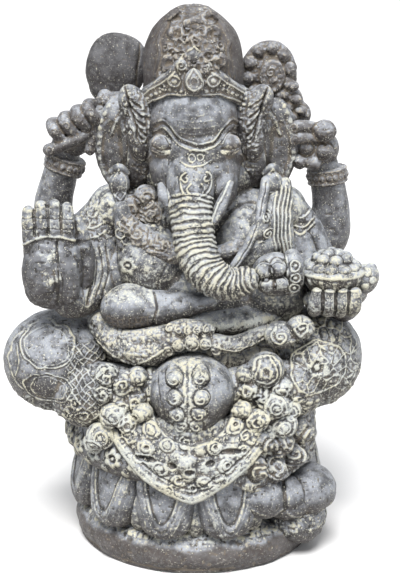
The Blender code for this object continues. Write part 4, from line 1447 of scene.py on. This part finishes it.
def make_rosary():
    """A disc of flat beads round an oval boss, its tail of beads running down to the hand."""
    centre = np.array([74, 22, 486])
    shapes = [
        ball(centre + (0, 4, 0), (29, 12, 33)), ball((92, 24, 456), (18, 11, 18)),
        ball((104, 24, 444), (14, 10, 14))
    ]
    for number in range(10):
        angle = TAU * (number + 0.3) / 10
        place = centre + (21 * math.cos(angle), -4, 25 * math.sin(angle))
        shapes.append(ball(place, (7, 6, 7)))
    shapes.append(ball(centre + (3, -8, -2), (12.5, 9, 17)))
    tail = (
        (98, 474, 6.5), (88, 464, 7), (101, 460, 6.5), (92, 452, 7), (106, 448, 6), (98, 442, 6),
        (84, 452, 6)
    )
    shapes += [ball((x, 14, z), (r, r, r * 0.85)) for x, z, r in tail]
    rosary = Stone("rosary_carved", shapes, 0.85, 4, 0.14, 1.0)
    rosary.ring((77, 484), 11, 1.7, 1.3, 0.12, squash=1.35)
    rosary.boss((77, 484), (8.5, 12.5), -2.6, -0.1)
    rosary.boss((78, 480), (5, 4), 1.6)
    rosary.line(curl((75, 488), 5, 1.1, 40), 1.3, 1.3, 0.1)
    rosary.crust(rosary.facing, 0.7, 4.5)
    rosary.finish("carved_stone", ["rosary"], wear=1.5)


# Worn ornaments.


def make_necklace():
    """Worn leafage across the chest, thickest at the figure's right."""
    path = [(-82, -18, 356), (-68, -38, 342), (-48, -51, 328), (-26, -56, 318), (0, -58, 314)]
    path += [(28, -58, 318), (52, -50, 328), (68, -40, 340), (84, -20, 356)]
    shapes = [limb(path, (8, 10, 12, 11, 10, 9, 10, 10, 8))]
    lumps = (
        (-58, 338, 15), (-44, 352, 15), (-66, 356, 14), (-36, 334, 13), (-50, 368, 13), (-72, 344, 12)
    )
    shapes += [ball((x, -30 + 0.32 * abs(x + 40), z), (r, 11, r)) for x, z, r in lumps]
    necklace = Stone("necklace_carved", shapes, 0.95, 7, 0.3, 0.7)
    for number, (x, z, r) in enumerate(lumps):
        hand = (-1) ** number
        necklace.line(curl((x, z), 0.7 * r, 1.3, 70 * number, hand), 1.8, 1.5, 0.2)
        necklace.ring((x, z), 0.95 * r, 2.0, -1.3, -0.1)
    for x, z, size in (
        (-60, 324, 6), (-46, 318, 6), (-30, 326, 6), (-24, 312, 5), (-34, 346, 6), (-28, 362, 6)
    ):
        necklace.flower((x, z), size, 5, x, 1.4, 0.15)
    necklace.crust(necklace.facing, 0.8, 6)
    necklace.finish("carved_stone", ["necklace"], wear=1.2)


def make_cord():
    """The cord from the shoulder down to the wrist."""
    route = [(70, -26, 384), (66, -42, 366), (60, -54, 344), (50, -62, 324), (38, -72, 308)]
    cord = Stone("sacred_cord_carved", [limb(route, (5, 5.5, 5.5, 5.5, 5))], 0.75, 3, 0.3)
    cord.line([(x, z) for x, _, z in route], 1.6, -1.0, 0.2)
    cord.finish("polished_stone", ["sacred_cord"], wear=1.0)


def make_shoulder_sash():
    """Folded cloth hanging from the figure's left shoulder."""
    shapes = [
        limb([(90, -18, 380), (88, -28, 356), (88, -36, 330), (94, -40, 308)], (7, 10, 11, 9)),
        limb([(80, -24, 366), (76, -38, 344), (76, -44, 322)], (8, 10, 9)),
        ball((62, -46, 338), (12, 14, 20)),
    ]
    sash = Stone("shoulder_sash_carved", shapes, 0.85, 3, 0.46)
    for number in range(5):
        x = 78 + 4 * number
        sash.line([(x + 4, 378), (x, 354), (x, 332), (x + 3, 312)], 1.6, 1.3, 0.04)
    for x, z in ((70, 352), (72, 336), (66, 324)):
        sash.line(curl((x, z), 5.5, 1.3, 50), 1.5, 1.5, 0.2)
    sash.finish("carved_stone", ["shoulder_sash"], wear=1.0)


# Surroundings.


def make_floor():
    """A flat pale disc, wide enough to fill the picture behind the figure."""
    mesh = bpy.data.meshes.new("floor")
    angles = np.linspace(0, TAU, 96, endpoint=False)
    mesh.from_pydata(
        [(FLOOR_RADIUS * math.cos(a), FLOOR_RADIUS * math.sin(a), 0.0) for a in angles], [],
        [list(range(96))]
    )
    floor = bpy.data.objects.new("floor", mesh)
    bpy.context.scene.collection.objects.link(floor)
    material = bpy.data.materials.new("studio_floor")
    material.use_nodes = True
    shader = material.node_tree.nodes["Principled BSDF"]
    shader.inputs["Base Color"].default_value = (0.82, 0.82, 0.82, 1)
    shader.inputs["Roughness"].default_value = 0.9
    mesh.materials.append(material)


def add_light(name, place, power, size, kind="AREA", colour=(1, 1, 1)):
    """A light aimed at the figure; size is metres across, or the angle in radians of a sun."""
    light = bpy.data.lights.new(name, kind)
    if kind == "SUN":
        light.angle = size
    else:
        light.shape = "DISK"
        light.size = size
    light.energy = power
    light.color = colour
    lamp = bpy.data.objects.new(name, light)
    bpy.context.scene.collection.objects.link(lamp)
    lamp.location = place
    aim = Vector((0, 0, 0.28)) - Vector(place)
    lamp.rotation_euler = aim.to_track_quat("-Z", "Y").to_euler()


def make_studio():
    """Floor, lights and a pale world."""
    make_floor()
    add_light("key", (-0.16, -0.95, 1.95), 4.9, 0.5, "SUN", (1.0, 0.99, 0.98))
    add_light("top", (0.1, 0.1, 2.1), 6, 0.8, colour=(0.93, 0.96, 1.0))
    add_light("fill", (1.5, -1.2, 0.9), 4.5, 1.2, colour=(0.95, 0.97, 1.0))
    add_light("back", (0.6, 1.4, 1.5), 8, 1.0)
    world = bpy.data.worlds.new("studio")
    world.use_nodes = True
    world.node_tree.nodes["Background"].inputs["Color"].default_value = (0.93, 0.95, 1.0, 1)
    world.node_tree.nodes["Background"].inputs["Strength"].default_value = 0.24
    bpy.context.scene.world = world
    bpy.context.scene.view_settings.view_transform = "Standard"


def make_camera():
    """The photograph's view: in front, from 16 degrees above, 1.5 m away."""
    elevation = math.radians(16)
    distance = 1.5
    aim_height = 0.2665
    aim_x = 0.004
    camera = bpy.data.cameras.new("camera")
    camera.sensor_width = 36
    camera.lens = 90.3
    viewer = bpy.data.objects.new("camera", camera)
    bpy.context.scene.collection.objects.link(viewer)
    viewer.location = (
        aim_x, -distance * math.cos(elevation), aim_height + distance * math.sin(elevation)
    )
    viewer.rotation_euler = (math.radians(90) - elevation, 0, 0)
    bpy.context.scene.camera = viewer


make_slab()
make_core()
for node in sorted(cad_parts):
    if node == "petal_02":
        make_bulky_petal(node)
    elif node.startswith("petal_"):
        make_petal(node)
make_cushion()
make_apron()
make_hip_drape()
make_hips()
make_right_leg()
make_left_leg()
make_feet()
make_torso()
make_sash()
make_belt()
make_head()
make_tusks()
for side, sign in (("right", -1), ("left", 1)):
    make_ear(side, sign)
    make_earring(side, sign)
make_crown()
make_diadem()
make_right_front_arm()
make_raised_palm()
make_left_front_arm()
make_left_front_hand()
make_bowl()
make_sweets()
make_wrist()
make_rear_arms()
make_bracelet("right", (-136, 24, 392), 20)
make_bracelet("left", (136, 24, 380), -7)
make_right_rear_hand()
make_left_rear_hand()
make_axe()
make_rosary()
make_necklace()
make_cord()
make_shoulder_sash()
make_studio()
make_camera()
